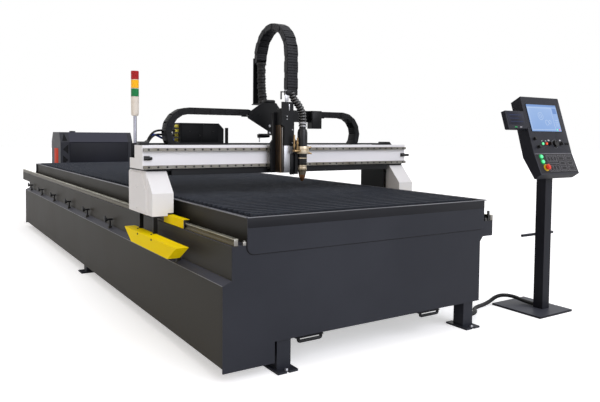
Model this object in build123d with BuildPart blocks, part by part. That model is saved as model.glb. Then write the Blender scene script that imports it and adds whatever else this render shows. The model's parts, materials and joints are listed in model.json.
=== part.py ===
from build123d import *

import math
import os

os.makedirs("parts", exist_ok=True)

# Driving dimensions in mm. X is read from the left skirt face, Y from the front end plate, Z from the floor.

# Table
table_length = 5987
tray_left = 149
tray_width = 1732
rim_z = 830
sheet = 4
end_plate = 8
flange = 22
tray_floor_z = 168
floor_plate = 6
hull_inset = 26
hull_top_z = 560
apron_z = 641
apron_thickness = 6
apron_left = 132
apron_radius = 40

# Extraction duct along the left side
duct_width = 299
duct_bottom_z = 78
duct_end_z = 55
skirt_top_z = 495
ledge_top_z = 517
ledge_width = 50

# Suction zones and their damper plungers
zone_count = 8
zone_pitch = 717
first_zone_y = 654
plunger_x = 25
plunger_rod = 12
plunger_fit = 0.3
boss_size = 26
boss_height = 16
head_z = 572
head_diameter = 32
head_width = 18
head_sides = 10
head_left = -15
arm_end_x = 44
arm_size = 14
shutter_width = 330
shutter_height = 46
shutter_bottom_z = 296
port_width = 300
port_height = 30
link_bar = 12

# Rails beside the tray
rail_beam_top_z = 690
right_beam_z = 590
beam_wall = 6
rail_offset = 91
rail_width = 24
rail_height = 37
rail_waist = 16
rail_steps = (10, 16, 24, 28)
rail_overhang = 600
beam_overhang = 540

# Slats and what carries them
slat_pitch = 66.5
slat_thickness = 6
slat_height = 98
slat_top_z = 838
slat_margin = 38
ledge_bar = 52
ledge_drop = 50
ledge_sheet = 5
partition_sheet = 5

# Legs with foot plates
leg_size = 85
leg_wall = 5
leg_inset_y = 13
leg_left_x = 319
leg_right_x = 1725
middle_leg_y = 2850
middle_left_leg_x = 25
foot_length = 178
foot_width = 124
foot_plate = 12
foot_slot_width = 14
foot_slot_depth = 30

# Slag gates under the tray floor
gate_x = (521, 1409)
gate_width = 176
gate_length = 556
gate_front_y = 2
gate_plate = 6
gate_z = 158
runner_bar = 18
runner_lip = 10
runner_gap = 0.5
runner_front_y = 40
outlet_width = 140
outlet_length = 400
outlet_y = 120
handle_bar = 10
handle_width = 156
handle_z = 136

# Operator console
post_x = 2545
post_y = 23
post_size = 76
post_wall = 4
post_top_z = 1180
base_x = 2512
base_width = 364
base_front_y = -125
base_rear_y = 283
base_thickness = 14
hanger_z = 544
hanger_bar = 20
hanger_length = 350
head_x = 2330
head_span = 432
head_sheet = 3
head_outline = ((86, 1530), (-40, 1137), (-105, 990), (-51, 955), (47, 1099), (97, 1275), (162, 1487))
screen_width = 349
screen_height = 205
screen_thickness = 4
screen_drop = 155
screen_shift = -4
side_box_width = 200
side_box_height = 130
side_box_depth = 34
side_box_drop = 175

# Console controls, placed by distance from the left edge and from the top edge of their panel
control_fit = 0.3
selector_at = (198, 348)
selector_diameter = 26
selector_height = 20
selector_bar = (9, 23)
dial_at = (263, 348)
dial_diameter = 44
dial_height = 16
spindle_size = 10
lit_button_across = 60
lit_button_drops = (31, 68)
lit_button_diameter = 24
lit_button_height = 12
stop_at = (78, 112)
stop_head = 40
stop_height = 30
button_stem = 14
stem_depth = 16

# Conduit between the table leg and the console post
conduit_diameter = 28
conduit_sides = 10
bend_share = 0.45
conduit_route = ((1810.4, 72, 54), (1922, 72, 54), (2100, 262, 15), (2290, 292, 15), (2395, 290, 64),
                 (2480, 225, 64), (2531, 150, 29), (2532, 61.4, 29))

# Power source behind the table
power_left = 564
power_width = 1052
power_cap_left = 124
power_cap_right = 67
power_gap = 613
power_depth = 640
power_top_z = 1250
power_shoulder_z = 1107
power_slope = 100
power_sheet = 3
window_count = 6
window_bottom_z = 130
window_top_z = 1080
window_edge = 16

# Gantry
beam_y = 1010
beam_size = 150
beam_z = 1022
beam_left = -66
cap_plate = 6
rear_depth = 99
guide_z = (1035, 1145)
guide_width = 20
guide_height = 22
tie_drop = 42
tie_depth = 60
tie_y = 1004
cover_left = -49
cover_right = 87
cover_z = 739
cover_front_y = 890
cover_rear_y = 1337
cover_brow_z = 879
cover_slope_y = 1015
cover_top_z = 1009
cover_gap = 1
panel_y = 978
panel_z = 1003
panel_proud = 4
panel_radius = 60
truck_inner_x = 118
truck_plate = 12
truck_front_y = 1050
truck_shelf_z = 745
truck_shelf = 10
runner_length = 80
runner_y = (1070, 1220)
runner_bottom_z = 706
rail_gap = 0.4
wiper_width = 40
wiper_front_y = 640
wiper_length = 320
wiper_bottom_z = 694
wiper_rear_length = 84
wiper_sheet = 4
gearbox_size = (80, 120, 130)
gearbox_x = 0
gearbox_y = 1190
motor_diameter = 100
motor_height = 92
motor_sides = 8

# Cam ramp on the left truck
ramp_left = -95
ramp_width = 74
ramp_top_z = 632
ramp_bottom_z = 552
ramp_top_y = (380, 1305)
ramp_bottom_y = (512, 1168)
post_width = 26
post_depth = 20
post_ys = (901, 1165)
post_left = -38

# Chain tray, control box and beacon at the back of the beam
tray_z = 1085
tray_lip_z = 1183
shelf_left = 2
shelf_width = 72
shelf_depth = 62
shelf_plate = 6
shelf_web = 60
box_left = 272
box_width = 332
box_depth = 137
box_top_z = 1321
box_bottom_z = 1060
box_chamfer = 38
box_strip = 24
box_sheet_gap = 3
box_strip_top_z = 1291
beacon_x = -26
beacon_y = 1292
beacon_pole = 26
beacon_foot = 56
beacon_body = 52
beacon_body_z = 1365
lens_z = (1487, 1541.4, 1599, 1657)
lens_gap = 0.4

# Energy chains
link_width = 90
link_half_height = 22
link_sheet = 6
link_fit = 0.3
link_tip = 16
link_bar_width = 26
link_bar_height = 4
chain_radius = 145
bend_links = 8
chain_y = 1208
chain_lift = 0.7
left_bend_x = 305
left_upper_links = 8
left_lower_links = 7
right_bend_x = 1590
right_upper_links = 4
right_lower_links = 7
arch_links = 12
arch_front_y = 873
arch_front_z = 1551
arch_front_links = 4
arch_x = 925

# Torch carriage
plate_left = 813
plate_right = 1105
plate_y = 945
plate_thickness = 20
plate_bottom_z = 990
plate_shoulder_z = 1190
plate_top_z = 1400
plate_neck = (830, 1000)
block_x = (852, 1066)
block_size = (74, 35, 50)
block_fit = 0.2
column_left = 850
column_width = 55
column_front_y = 880
column_bottom_z = 985
column_top_z = 1312
column_wall = 6
column_slot = 22
lifter_motor_top_z = 1420
screw_diameter = 14
screw_fit = 0.3
arm_plate = 8
arm_rear_y = 1158
bridge_z = 1240
bridge_plate = 12
arm_outline = ((741, 1362), (757, 1408), (854, 1472), (970, 1476), (1010, 1430), (1251, 1426),
               (1251, 1340), (1010, 1340), (990, 1240), (905, 1240), (905, 1272))
lead_box = (1251, 1340)
lead_box_z = (1292, 1426)
lead_box_depth = 60
tab_plate = 7
left_tab = (741, 815)
right_tab = (1290, 1400)
sleeve_diameter = 70
sleeve_shelf = (870, 980)
sleeve_foot_y = 1228

# Torch lift
slide_gap = 0.4
slide_width = 42
slide_front_y = 872
slide_depth = 64
slide_z = (985, 1165)
nut_height = 44
nut_z = 1130
nut_width = 20
strip_width = 18
riser_x = 880
strip_thickness = 6
tab_reach = (880, 970)
torch_x = 1005
torch_y = 845
torch_radius = 33
torch_fit = 0.3
holder_bottom_z = 975
holder_right = 985
holder_depth = 60
clamp_radius = 45
clamp_z = (1114, 1169)
barrel_top_z = 1287
neck_radius = 23
neck_top_z = 1300
barrel_bottom_z = 1024
cap_bottom_z = 989
cap_radius = 30
shield_radius = 22
shield_bottom_z = 952
nozzle_radius = 11
nozzle_tip_z = 926
hose_radius = 25
hose_root_radius = 21
hose_bore_radius = 17
hose_ribs = 10
hose_route = ((1005, 845, 1300.4), (1019, 849, 1375), (988, 860, 1466), (940, 872, 1544.6))
hose_sides = 8
bore_runs = 6
rib_profile = ((0, hose_root_radius), (0.25, hose_radius), (0.65, hose_radius), (0.9, hose_root_radius))

# Derived datums
tray_right = tray_left + tray_width
table_mid = tray_left + tray_width / 2
hull_right = tray_right - hull_inset
rail_left = tray_left - rail_offset
rail_right = tray_right + rail_offset
inner_y = (end_plate, table_length - end_plate)
slat_bottom_z = slat_top_z - slat_height
zone_ys = [first_zone_y + zone_pitch * i for i in range(zone_count)]
beam_right = 2 * table_mid - beam_left
beam_top_z = beam_z + beam_size
beam_rear_y = beam_y + beam_size
tray_rear_y = beam_rear_y + rear_depth
power_right = power_left + power_width
power_front_y = table_length + power_gap
power_rear_y = power_front_y + power_depth
head_right = head_x + head_span
origin_x = (ramp_left + head_right) / 2
origin_y = (base_front_y + power_rear_y) / 2


def at(x, y, z):
    """Turn a datum point into the part's own frame."""
    return (x - origin_x, y - origin_y, z)


def outline(plane, points, depth, mode=Mode.ADD):
    """Fill a straight-sided outline on a plane and extrude it."""
    with BuildSketch(plane) as drawn:
        with BuildLine():
            Polyline(*points, close=True)
        make_face()
    extrude(drawn.sketch, amount=depth, mode=mode)


def inset(plane, points, wall, depth):
    """Cut an outline out again, drawn smaller by one wall all round."""
    with BuildSketch(plane) as drawn:
        with BuildLine():
            Polyline(*points, close=True)
        make_face()
        offset(amount=-wall, kind=Kind.INTERSECTION, mode=Mode.REPLACE)
    extrude(drawn.sketch, amount=depth, mode=Mode.SUBTRACT)


def plane_xz(y):
    """Plane of X and Z at the given Y, which extrudes towards the front."""
    return Plane(origin=at(0, y, 0), x_dir=(1, 0, 0), z_dir=(0, -1, 0))


def plane_yz(x):
    """Plane of Y and Z at the given X, which extrudes to the right."""
    return Plane(origin=at(x, 0, 0), x_dir=(0, 1, 0), z_dir=(1, 0, 0))


def plane_xy(z):
    """Plane of X and Y at the given height, which extrudes upwards."""
    return Plane(origin=at(0, 0, z))


def slab(x, y, z, mode=Mode.ADD):
    """A plate between low and high datum limits on each axis."""
    with Locations(at(sum(x) / 2, sum(y) / 2, sum(z) / 2)):
        Box(x[1] - x[0], y[1] - y[0], z[1] - z[0], mode=mode)


def rod(start, end, radius, mode=Mode.ADD):
    """A round bar between two datum points."""
    run = Vector(*end) - Vector(*start)
    with BuildSketch(Plane(origin=at(*start), z_dir=run)) as drawn:
        Circle(radius)
    extrude(drawn.sketch, amount=run.length, mode=mode)


def save(built, name):
    """Label a finished piece and write it as its own file."""
    built.part.label = name
    export_step(built.part, f"parts/{name}.step")


def bend_radii(points):
    """Radius for each turn of a route, as large as the shorter run beside it allows."""
    radii = []
    for before, here, after in zip(points, points[1:], points[2:]):
        run_in = Vector(*here) - Vector(*before)
        run_out = Vector(*after) - Vector(*here)
        half_turn = math.radians(run_in.get_angle(run_out)) / 2
        radii.append(bend_share * min(run_in.length, run_out.length) / math.tan(half_turn))
    return radii


def tube(points, radius, sides):
    """A many-sided tube along straight runs joined by tangent arcs."""
    with BuildLine() as route:
        FilletPolyline(*[at(*p) for p in points], radius=bend_radii(points))
    with BuildSketch(Plane(origin=route.line @ 0, z_dir=route.line % 0)) as drawn:
        RegularPolygon(radius, sides)
    sweep(drawn.sketch, path=route.line)
    return drawn.sketch.area


middle = Plane(origin=at(table_mid, 0, 0), x_dir=(0, 1, 0), z_dir=(1, 0, 0))
table_half = Plane(origin=at(0, table_length / 2, 0), x_dir=(1, 0, 0), z_dir=(0, 1, 0))

# End plates that close the tray, the duct and both rail beams
plate_outline = (
    (ledge_width, rail_beam_top_z), (ledge_width, ledge_top_z), (0, skirt_top_z), (0, duct_end_z),
    (duct_width, duct_end_z), (duct_width, tray_floor_z), (hull_right, tray_floor_z),
    (hull_right, hull_top_z), (tray_right, right_beam_z), (rail_right, right_beam_z),
    (rail_right, rail_beam_top_z), (tray_right, rail_beam_top_z), (tray_right, rim_z - sheet),
    (tray_left, rim_z - sheet), (tray_left, rail_beam_top_z),
)
with BuildPart() as end_plates:
    outline(plane_xz(end_plate), plate_outline, end_plate)
    mirror(about=table_half)
save(end_plates, "end_plates")

# Tray side walls, folded out at the rim; the right one steps in to the hull
with BuildPart() as tray_walls:
    left_wall = (
        (tray_left - flange, rim_z - sheet), (tray_left - flange, rim_z), (tray_left + sheet, rim_z),
        (tray_left + sheet, ledge_top_z), (tray_left, ledge_top_z), (tray_left, rim_z - sheet),
    )
    outline(plane_xz(inner_y[1]), left_wall, inner_y[1] - inner_y[0])
    right_wall = (
        (tray_right + flange, rim_z - sheet), (tray_right + flange, rim_z), (tray_right - sheet, rim_z),
        (tray_right - sheet, right_beam_z), (hull_right - sheet, hull_top_z),
        (hull_right - sheet, tray_floor_z), (hull_right, tray_floor_z), (hull_right, hull_top_z),
        (tray_right, right_beam_z), (tray_right, rim_z - sheet),
    )
    outline(plane_xz(inner_y[1]), right_wall, inner_y[1] - inner_y[0])
save(tray_walls, "tray_walls")

# Tray floor with slag outlets, and the partitions between suction zones
with BuildPart() as tray_plates:
    slab((duct_width, hull_right - sheet), inner_y, (tray_floor_z, tray_floor_z + floor_plate))
    for middle_x in gate_x:
        slab(
            (middle_x - outlet_width / 2, middle_x + outlet_width / 2),
            (outlet_y, outlet_y + outlet_length),
            (tray_floor_z, tray_floor_z + floor_plate),
            mode=Mode.SUBTRACT,
        )
    partition = (
        (duct_width, tray_floor_z + floor_plate), (hull_right - sheet, tray_floor_z + floor_plate),
        (hull_right - sheet, hull_top_z), (tray_right - flange, hull_top_z + flange),
        (tray_right - flange, slat_bottom_z - 2 * ledge_sheet),
        (tray_left + flange, slat_bottom_z - 2 * ledge_sheet),
        (tray_left + flange, ledge_top_z), (duct_width, ledge_top_z),
    )
    for zone_y in zone_ys[1:]:
        outline(plane_xz(zone_y - zone_pitch / 2), partition, partition_sheet)
save(tray_plates, "tray_plates")

# Lipped runners under the tray floor that carry the slag gates
with BuildPart() as gate_runners:
    for middle_x in gate_x:
        for side in (-1, 1):
            edge = middle_x + side * (gate_width / 2 + runner_gap)
            back = edge + side * runner_bar
            lip = edge - side * runner_lip
            runner = (
                (back, tray_floor_z), (edge, tray_floor_z), (edge, gate_z - runner_gap),
                (lip, gate_z - runner_gap), (lip, gate_z - gate_plate), (back, gate_z - gate_plate),
            )
            outline(plane_xz(gate_front_y + gate_length), runner, gate_front_y + gate_length - runner_front_y)
save(gate_runners, "gate_runners")

# Aprons outside the end plates, with rounded lower corners and a folded rim
with BuildPart() as end_aprons:
    with BuildSketch(plane_xz(0)):
        with Locations(((apron_left + tray_right) / 2, (apron_z + rim_z) / 2)):
            Rectangle(tray_right - apron_left, rim_z - apron_z)
    extrude(amount=apron_thickness)
    low_corners = end_aprons.edges().filter_by(Axis.Y).group_by(Axis.Z)[0]
    fillet(low_corners, radius=apron_radius)
    slab((tray_left - flange, tray_right + flange), (-apron_thickness, end_plate), (rim_z - sheet, rim_z))
    mirror(about=table_half)
save(end_aprons, "end_aprons")

# Extraction duct with a suction port and a plunger guide for each zone
duct_outline = (
    (0, duct_bottom_z), (0, skirt_top_z), (ledge_width, ledge_top_z),
    (duct_width, ledge_top_z), (duct_width, duct_bottom_z),
)
ledge_z = skirt_top_z + (ledge_top_z - skirt_top_z) * plunger_x / ledge_width
port_z = shutter_bottom_z + (shutter_height - port_height) / 2
with BuildPart() as extraction_duct:
    outline(plane_xz(inner_y[1]), duct_outline, inner_y[1] - inner_y[0])
    inset(plane_xz(inner_y[1]), duct_outline, sheet, inner_y[1] - inner_y[0])
    for zone_y in zone_ys:
        slab((plunger_x - boss_size / 2, plunger_x + boss_size / 2),
             (zone_y - boss_size / 2, zone_y + boss_size / 2), (ledge_z - boss_height, ledge_z + boss_height))
        slab((plunger_x - plunger_rod / 2 - plunger_fit, plunger_x + plunger_rod / 2 + plunger_fit),
             (zone_y - plunger_rod / 2 - plunger_fit, zone_y + plunger_rod / 2 + plunger_fit),
             (ledge_z - boss_height, ledge_z + boss_height), mode=Mode.SUBTRACT)
        slab((duct_width - sheet, duct_width), (zone_y - port_width / 2, zone_y + port_width / 2),
             (port_z, port_z + port_height), mode=Mode.SUBTRACT)
save(extraction_duct, "extraction_duct")

# Damper plungers: follower head, rod and the shutter it pushes down inside the duct
for number, zone_y in enumerate(zone_ys, 1):
    with BuildPart() as damper_plunger:
        shutter_right = duct_width - sheet - runner_gap
        link_z = shutter_bottom_z + shutter_height / 2
        slab((plunger_x - plunger_rod / 2, plunger_x + plunger_rod / 2),
             (zone_y - plunger_rod / 2, zone_y + plunger_rod / 2), (link_z, head_z))
        slab((head_left + head_width / 2, arm_end_x), (zone_y - arm_size / 2, zone_y + arm_size / 2),
             (head_z - arm_size / 2, head_z + arm_size / 2))
        with BuildSketch(plane_yz(head_left)):
            with Locations((zone_y, head_z)):
                RegularPolygon(head_diameter / 2, head_sides)
        extrude(amount=head_width)
        slab((plunger_x - link_bar / 2, shutter_right), (zone_y - link_bar / 2, zone_y + link_bar / 2),
             (link_z - link_bar / 2, link_z + link_bar / 2))
        slab((shutter_right - sheet, shutter_right), (zone_y - shutter_width / 2, zone_y + shutter_width / 2),
             (shutter_bottom_z, shutter_bottom_z + shutter_height))
    save(damper_plunger, f"damper_plunger_{number}")

# Hollow beams under the running rails
with BuildPart() as rail_beams:
    left_beam = (
        (ledge_width, ledge_top_z), (ledge_width, rail_beam_top_z),
        (tray_left, rail_beam_top_z), (tray_left, ledge_top_z),
    )
    right_beam = (
        (tray_right, right_beam_z), (tray_right, rail_beam_top_z),
        (rail_right, rail_beam_top_z), (rail_right, right_beam_z),
    )
    for beam in (left_beam, right_beam):
        outline(plane_xz(inner_y[1]), beam, inner_y[1] - inner_y[0])
        inset(plane_xz(inner_y[1]), beam, beam_wall, inner_y[1] - inner_y[0])
    stub_y = table_length + beam_overhang
    for stub_x in ((ledge_width, apron_left), (2 * table_mid - apron_left, rail_right)):
        stub = [(stub_x[i], z) for i, z in ((0, right_beam_z), (0, rail_beam_top_z), (1, rail_beam_top_z),
                                            (1, right_beam_z))]
        outline(plane_xz(stub_y), stub, beam_overhang)
        inset(plane_xz(stub_y), stub, beam_wall, beam_overhang)
save(rail_beams, "rail_beams")

# Running rails with a waisted section
rail_mid = rail_left + rail_width / 2
half_rail = (
    (rail_width / 2, 0), (rail_width / 2, rail_steps[0]), (rail_waist / 2, rail_steps[1]),
    (rail_waist / 2, rail_steps[2]), (rail_width / 2, rail_steps[3]), (rail_width / 2, rail_height),
)
rail_section = [(rail_mid + across, rail_beam_top_z + height) for across, height in half_rail]
rail_section += [(2 * rail_mid - x, z) for x, z in reversed(rail_section)]
with BuildPart() as running_rails:
    outline(plane_xz(table_length + rail_overhang), rail_section, table_length + rail_overhang)
    mirror(about=middle)
save(running_rails, "running_rails")

# Angle ledges on the tray walls that the slats lie on
with BuildPart() as slat_ledges:
    ledge_angle = (
        (tray_left + sheet, slat_bottom_z - ledge_drop), (tray_left + sheet, slat_bottom_z),
        (tray_left + ledge_bar, slat_bottom_z), (tray_left + ledge_bar, slat_bottom_z - ledge_sheet),
        (tray_left + sheet + ledge_sheet, slat_bottom_z - ledge_sheet),
        (tray_left + sheet + ledge_sheet, slat_bottom_z - ledge_drop),
    )
    outline(plane_xz(inner_y[1]), ledge_angle, inner_y[1] - inner_y[0])
    mirror(about=middle)
save(slat_ledges, "slat_ledges")

# Cutting slats on edge across the tray
slat_count = int((table_length - 2 * end_plate) // slat_pitch)
with BuildPart() as cutting_slats:
    with Locations(at(table_mid, table_length / 2, slat_top_z - slat_height / 2)):
        with GridLocations(0, slat_pitch, 1, slat_count):
            Box(tray_width - 2 * slat_margin, slat_thickness, slat_height)
save(cutting_slats, "cutting_slats")

# Legs with slotted foot plates; the middle pair has its plates turned across the table
leg_places = [
    (leg_left_x, leg_inset_y, tray_floor_z, 90),
    (leg_right_x, leg_inset_y, tray_floor_z, 90),
    (middle_left_leg_x, middle_leg_y, duct_bottom_z, 0),
    (leg_right_x, middle_leg_y, tray_floor_z, 0),
    (leg_left_x, table_length - leg_inset_y - leg_size, tray_floor_z, 90),
    (leg_right_x, table_length - leg_inset_y - leg_size, tray_floor_z, 90),
]
with BuildPart() as legs:
    for leg_x, leg_y, leg_top, turn in leg_places:
        foot = Plane(origin=at(leg_x + leg_size / 2, leg_y + leg_size / 2, 0)).rotated((0, 0, turn))
        with BuildSketch(foot):
            Rectangle(foot_length, foot_width)
            with GridLocations(foot_length, 0, 2, 1):
                Rectangle(2 * foot_slot_depth, foot_slot_width, mode=Mode.SUBTRACT)
        extrude(amount=foot_plate)
        with BuildSketch(foot.offset(foot_plate)):
            Rectangle(leg_size, leg_size)
            Rectangle(leg_size - 2 * leg_wall, leg_size - 2 * leg_wall, mode=Mode.SUBTRACT)
        extrude(amount=leg_top - foot_plate)
save(legs, "legs")

# Slag gates that slide out below the front plate by their bar handles
for gate_name, middle_x in zip(("slag_gate_left", "slag_gate_right"), gate_x):
    with BuildPart() as slag_gate:
        slab((middle_x - gate_width / 2, middle_x + gate_width / 2),
             (gate_front_y, gate_front_y + gate_length), (gate_z, gate_z + gate_plate))
        handle_y = (gate_front_y, gate_front_y + handle_bar)
        reach = handle_width / 2
        handle = (
            (middle_x - reach, gate_z), (middle_x - reach, handle_z + handle_bar / 2),
            (middle_x - reach + handle_bar / 2, handle_z), (middle_x + reach - handle_bar / 2, handle_z),
            (middle_x + reach, handle_z + handle_bar / 2), (middle_x + reach, gate_z),
            (middle_x + reach - handle_bar, gate_z), (middle_x + reach - handle_bar, handle_z + handle_bar),
            (middle_x - reach + handle_bar, handle_z + handle_bar), (middle_x - reach + handle_bar, gate_z),
        )
        outline(plane_xz(handle_y[1]), handle, handle_bar)
    save(slag_gate, gate_name)

# Console stand: base plate, hollow post and a bar to hang leads on
post_sides = (post_x - post_size / 2, post_x + post_size / 2)
post_faces = (post_y - post_size / 2, post_y + post_size / 2)
with BuildPart() as console_stand:
    slab((base_x - base_width / 2, base_x + base_width / 2), (base_front_y, base_rear_y), (0, base_thickness))
    slab(post_sides, post_faces, (base_thickness, post_top_z))
    slab((post_sides[0] + post_wall, post_sides[1] - post_wall),
         (post_faces[0] + post_wall, post_faces[1] - post_wall),
         (base_thickness, post_top_z), mode=Mode.SUBTRACT)
    hanger_y = post_faces[1] + hanger_bar / 2 - post_wall / 2
    rod((post_x - hanger_length / 2, hanger_y, hanger_z), (post_x + hanger_length / 2, hanger_y, hanger_z),
        hanger_bar / 2)
save(console_stand, "console_stand")


def panel(top, bottom, across, drop):
    """Plane on a sloping console panel at distances from its left and top edges, facing the operator."""
    run = Vector(0, bottom[0] - top[0], bottom[1] - top[1]).normalized()
    place = Vector(*at(head_x + across, top[0], top[1])) + run * drop
    return Plane(origin=place, x_dir=(1, 0, 0), z_dir=(0, run.Z, -run.Y))


def screen_panel(across, drop):
    """Plane on the upper panel of the console head."""
    return panel(head_outline[0], head_outline[1], across, drop)


def key_panel(across, drop):
    """Plane on the lower panel of the console head."""
    return panel(head_outline[1], head_outline[2], across, drop)


# Console head: a folded sheet housing that the post enters from below
push_places = [key_panel(lit_button_across, drop) for drop in lit_button_drops] + [key_panel(*stop_at)]
turn_places = [screen_panel(*selector_at), screen_panel(*dial_at)]
with BuildPart() as console_head:
    outline(plane_yz(head_x), head_outline, head_span)
    inset(plane_yz(head_x + head_sheet), head_outline, head_sheet, head_span - 2 * head_sheet)
    slab((post_sides[0] - runner_gap, post_sides[1] + runner_gap),
         (post_faces[0] - runner_gap, post_faces[1] + runner_gap),
         (head_outline[3][1] - post_size, post_top_z + runner_gap), mode=Mode.SUBTRACT)
    for place in push_places:
        with BuildSketch(place):
            Rectangle(button_stem + 2 * control_fit, button_stem + 2 * control_fit)
        extrude(amount=-2 * head_sheet, mode=Mode.SUBTRACT)
    for place in turn_places:
        with BuildSketch(place):
            Circle(spindle_size / math.sqrt(2) + control_fit)
        extrude(amount=-2 * head_sheet, mode=Mode.SUBTRACT)
save(console_head, "console_head")

# Screen on the upper panel
with BuildPart() as console_screen:
    with BuildSketch(screen_panel(head_span / 2 + screen_shift, screen_drop)):
        Rectangle(screen_width, screen_height)
    extrude(amount=screen_thickness)
    chamfer(console_screen.faces().sort_by(Axis.Y)[0].edges(), length=screen_thickness / 4)
save(console_screen, "console_screen")

# Side box on the left of the head, in the slope of the screen panel
with BuildPart() as side_box:
    with BuildSketch(screen_panel(-side_box_width / 2, side_box_drop)):
        Rectangle(side_box_width, side_box_height)
    extrude(amount=-side_box_depth)
    chamfer(side_box.faces().sort_by(Axis.Y)[0].edges(), length=screen_thickness)
save(side_box, "side_box")

# Sprung push buttons with a stem through the panel
for button_name, place in zip(("lit_button_upper", "lit_button_lower"), push_places):
    with BuildPart() as lit_button:
        lift = lit_button_height / 2
        with BuildSketch(place.offset(lift)):
            Circle(lit_button_diameter / 2)
        extrude(amount=lit_button_height - lift)
        with BuildSketch(place.offset(lift)):
            Rectangle(button_stem, button_stem)
        extrude(amount=-stem_depth)
    save(lit_button, button_name)

# Emergency stop with a mushroom head
with BuildPart() as stop_button:
    with BuildSketch(push_places[2].offset(stop_height / 2)):
        Circle(stop_head / 2)
    extrude(amount=stop_height / 3)
    with BuildSketch(push_places[2].offset(stop_height * 5 / 6)):
        Circle(stop_head / 3)
    extrude(amount=stop_height / 6)
    with BuildSketch(push_places[2].offset(stop_height / 2)):
        Rectangle(button_stem, button_stem)
    extrude(amount=-stop_height / 2 - stem_depth / 2)
save(stop_button, "stop_button")

# Mode selector: a round grip with a raised bar
with BuildPart() as mode_selector:
    with BuildSketch(turn_places[0].offset(control_fit)):
        Circle(selector_diameter / 2)
    extrude(amount=selector_height / 2)
    with BuildSketch(turn_places[0].offset(selector_height / 2)):
        Rectangle(*selector_bar)
    extrude(amount=selector_height / 2)
    with BuildSketch(turn_places[0].offset(control_fit)):
        Rectangle(spindle_size, spindle_size)
    extrude(amount=-stem_depth)
save(mode_selector, "mode_selector")

# Jog dial: a ring with a finger dimple
with BuildPart() as jog_dial:
    with BuildSketch(turn_places[1].offset(control_fit)):
        Circle(dial_diameter / 2)
    extrude(amount=dial_height)
    with BuildSketch(turn_places[1].offset(dial_height + control_fit)):
        with Locations((0, dial_diameter / 4)):
            Circle(dial_diameter / 8)
    extrude(amount=-dial_height / 6, mode=Mode.SUBTRACT)
    with BuildSketch(turn_places[1].offset(control_fit)):
        Rectangle(spindle_size, spindle_size)
    extrude(amount=-stem_depth)
save(jog_dial, "jog_dial")

# Conduit along the floor from the front leg to the console post
with BuildPart() as console_conduit:
    conduit_area = tube(conduit_route, conduit_diameter / 2, conduit_sides)
save(console_conduit, "console_conduit")
conduit_runs = zip(conduit_route, conduit_route[1:])
conduit_length = sum((Vector(*b) - Vector(*a)).length for a, b in conduit_runs)
print("conduit radii", [round(r) for r in bend_radii(conduit_route)])
print("conduit volume over section times length", console_conduit.part.volume / conduit_area / conduit_length)

# Power source: a cabinet with a sloped crown between two end caps
power_outline = (
    (power_front_y, 0), (power_front_y, power_shoulder_z), (power_front_y + power_slope, power_top_z),
    (power_rear_y - power_slope, power_top_z), (power_rear_y, power_shoulder_z), (power_rear_y, 0),
)
cabinet_x = (power_left + power_cap_left, power_right - power_cap_right)
with BuildPart() as power_cabinet:
    outline(plane_yz(cabinet_x[0]), power_outline, cabinet_x[1] - cabinet_x[0])
    inset(plane_yz(cabinet_x[0] + power_sheet), power_outline, power_sheet,
          cabinet_x[1] - cabinet_x[0] - 2 * power_sheet)
save(power_cabinet, "power_cabinet")

# End caps; the left one has triangular air windows on its front and rear
window_pitch = (window_top_z - window_bottom_z) / window_count
window_x = (power_left + 2 * window_edge, cabinet_x[0] - window_edge)
with BuildPart() as power_end_caps:
    outline(plane_yz(power_left), power_outline, power_cap_left)
    inset(plane_yz(power_left + power_sheet), power_outline, power_sheet, power_cap_left - power_sheet)
    for i in range(window_count):
        low = window_bottom_z + i * window_pitch + window_edge / 2
        high = low + window_pitch - window_edge
        point_x, base_x = window_x if i % 2 else reversed(window_x)
        triangle = ((base_x, low), (base_x, high), (point_x, (low + high) / 2))
        outline(plane_xz(power_rear_y), triangle, power_depth, mode=Mode.SUBTRACT)
    outline(plane_yz(cabinet_x[1]), power_outline, power_cap_right)
    inset(plane_yz(cabinet_x[1]), power_outline, power_sheet, power_cap_right - power_sheet)
save(power_end_caps, "power_end_caps")

# Gantry beam, a hollow square tube
beam_outline = (
    (beam_y, beam_z), (beam_y, beam_top_z), (beam_rear_y, beam_top_z), (beam_rear_y, beam_z),
)
with BuildPart() as gantry_beam:
    outline(plane_yz(beam_left), beam_outline, beam_right - beam_left)
    inset(plane_yz(beam_left), beam_outline, beam_wall, beam_right - beam_left)
save(gantry_beam, "gantry_beam")

# Tie beam below it, between the two trucks
with BuildPart() as tie_beam:
    slab((truck_inner_x, 2 * table_mid - truck_inner_x), (tie_y, tie_y + tie_depth),
         (beam_z - tie_drop, beam_z))
save(tie_beam, "tie_beam")

# Guide rails on the front of the beam
with BuildPart() as beam_rails:
    for z in guide_z:
        guide_section = (
            (beam_y, z - guide_width / 2), (beam_y, z + guide_width / 2),
            (beam_y - guide_height / 2, z + guide_width / 4), (beam_y - guide_height, z + guide_width / 2),
            (beam_y - guide_height, z - guide_width / 2), (beam_y - guide_height / 2, z - guide_width / 4),
        )
        outline(plane_yz(beam_left), guide_section, beam_right - beam_left)
save(beam_rails, "beam_rails")

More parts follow.
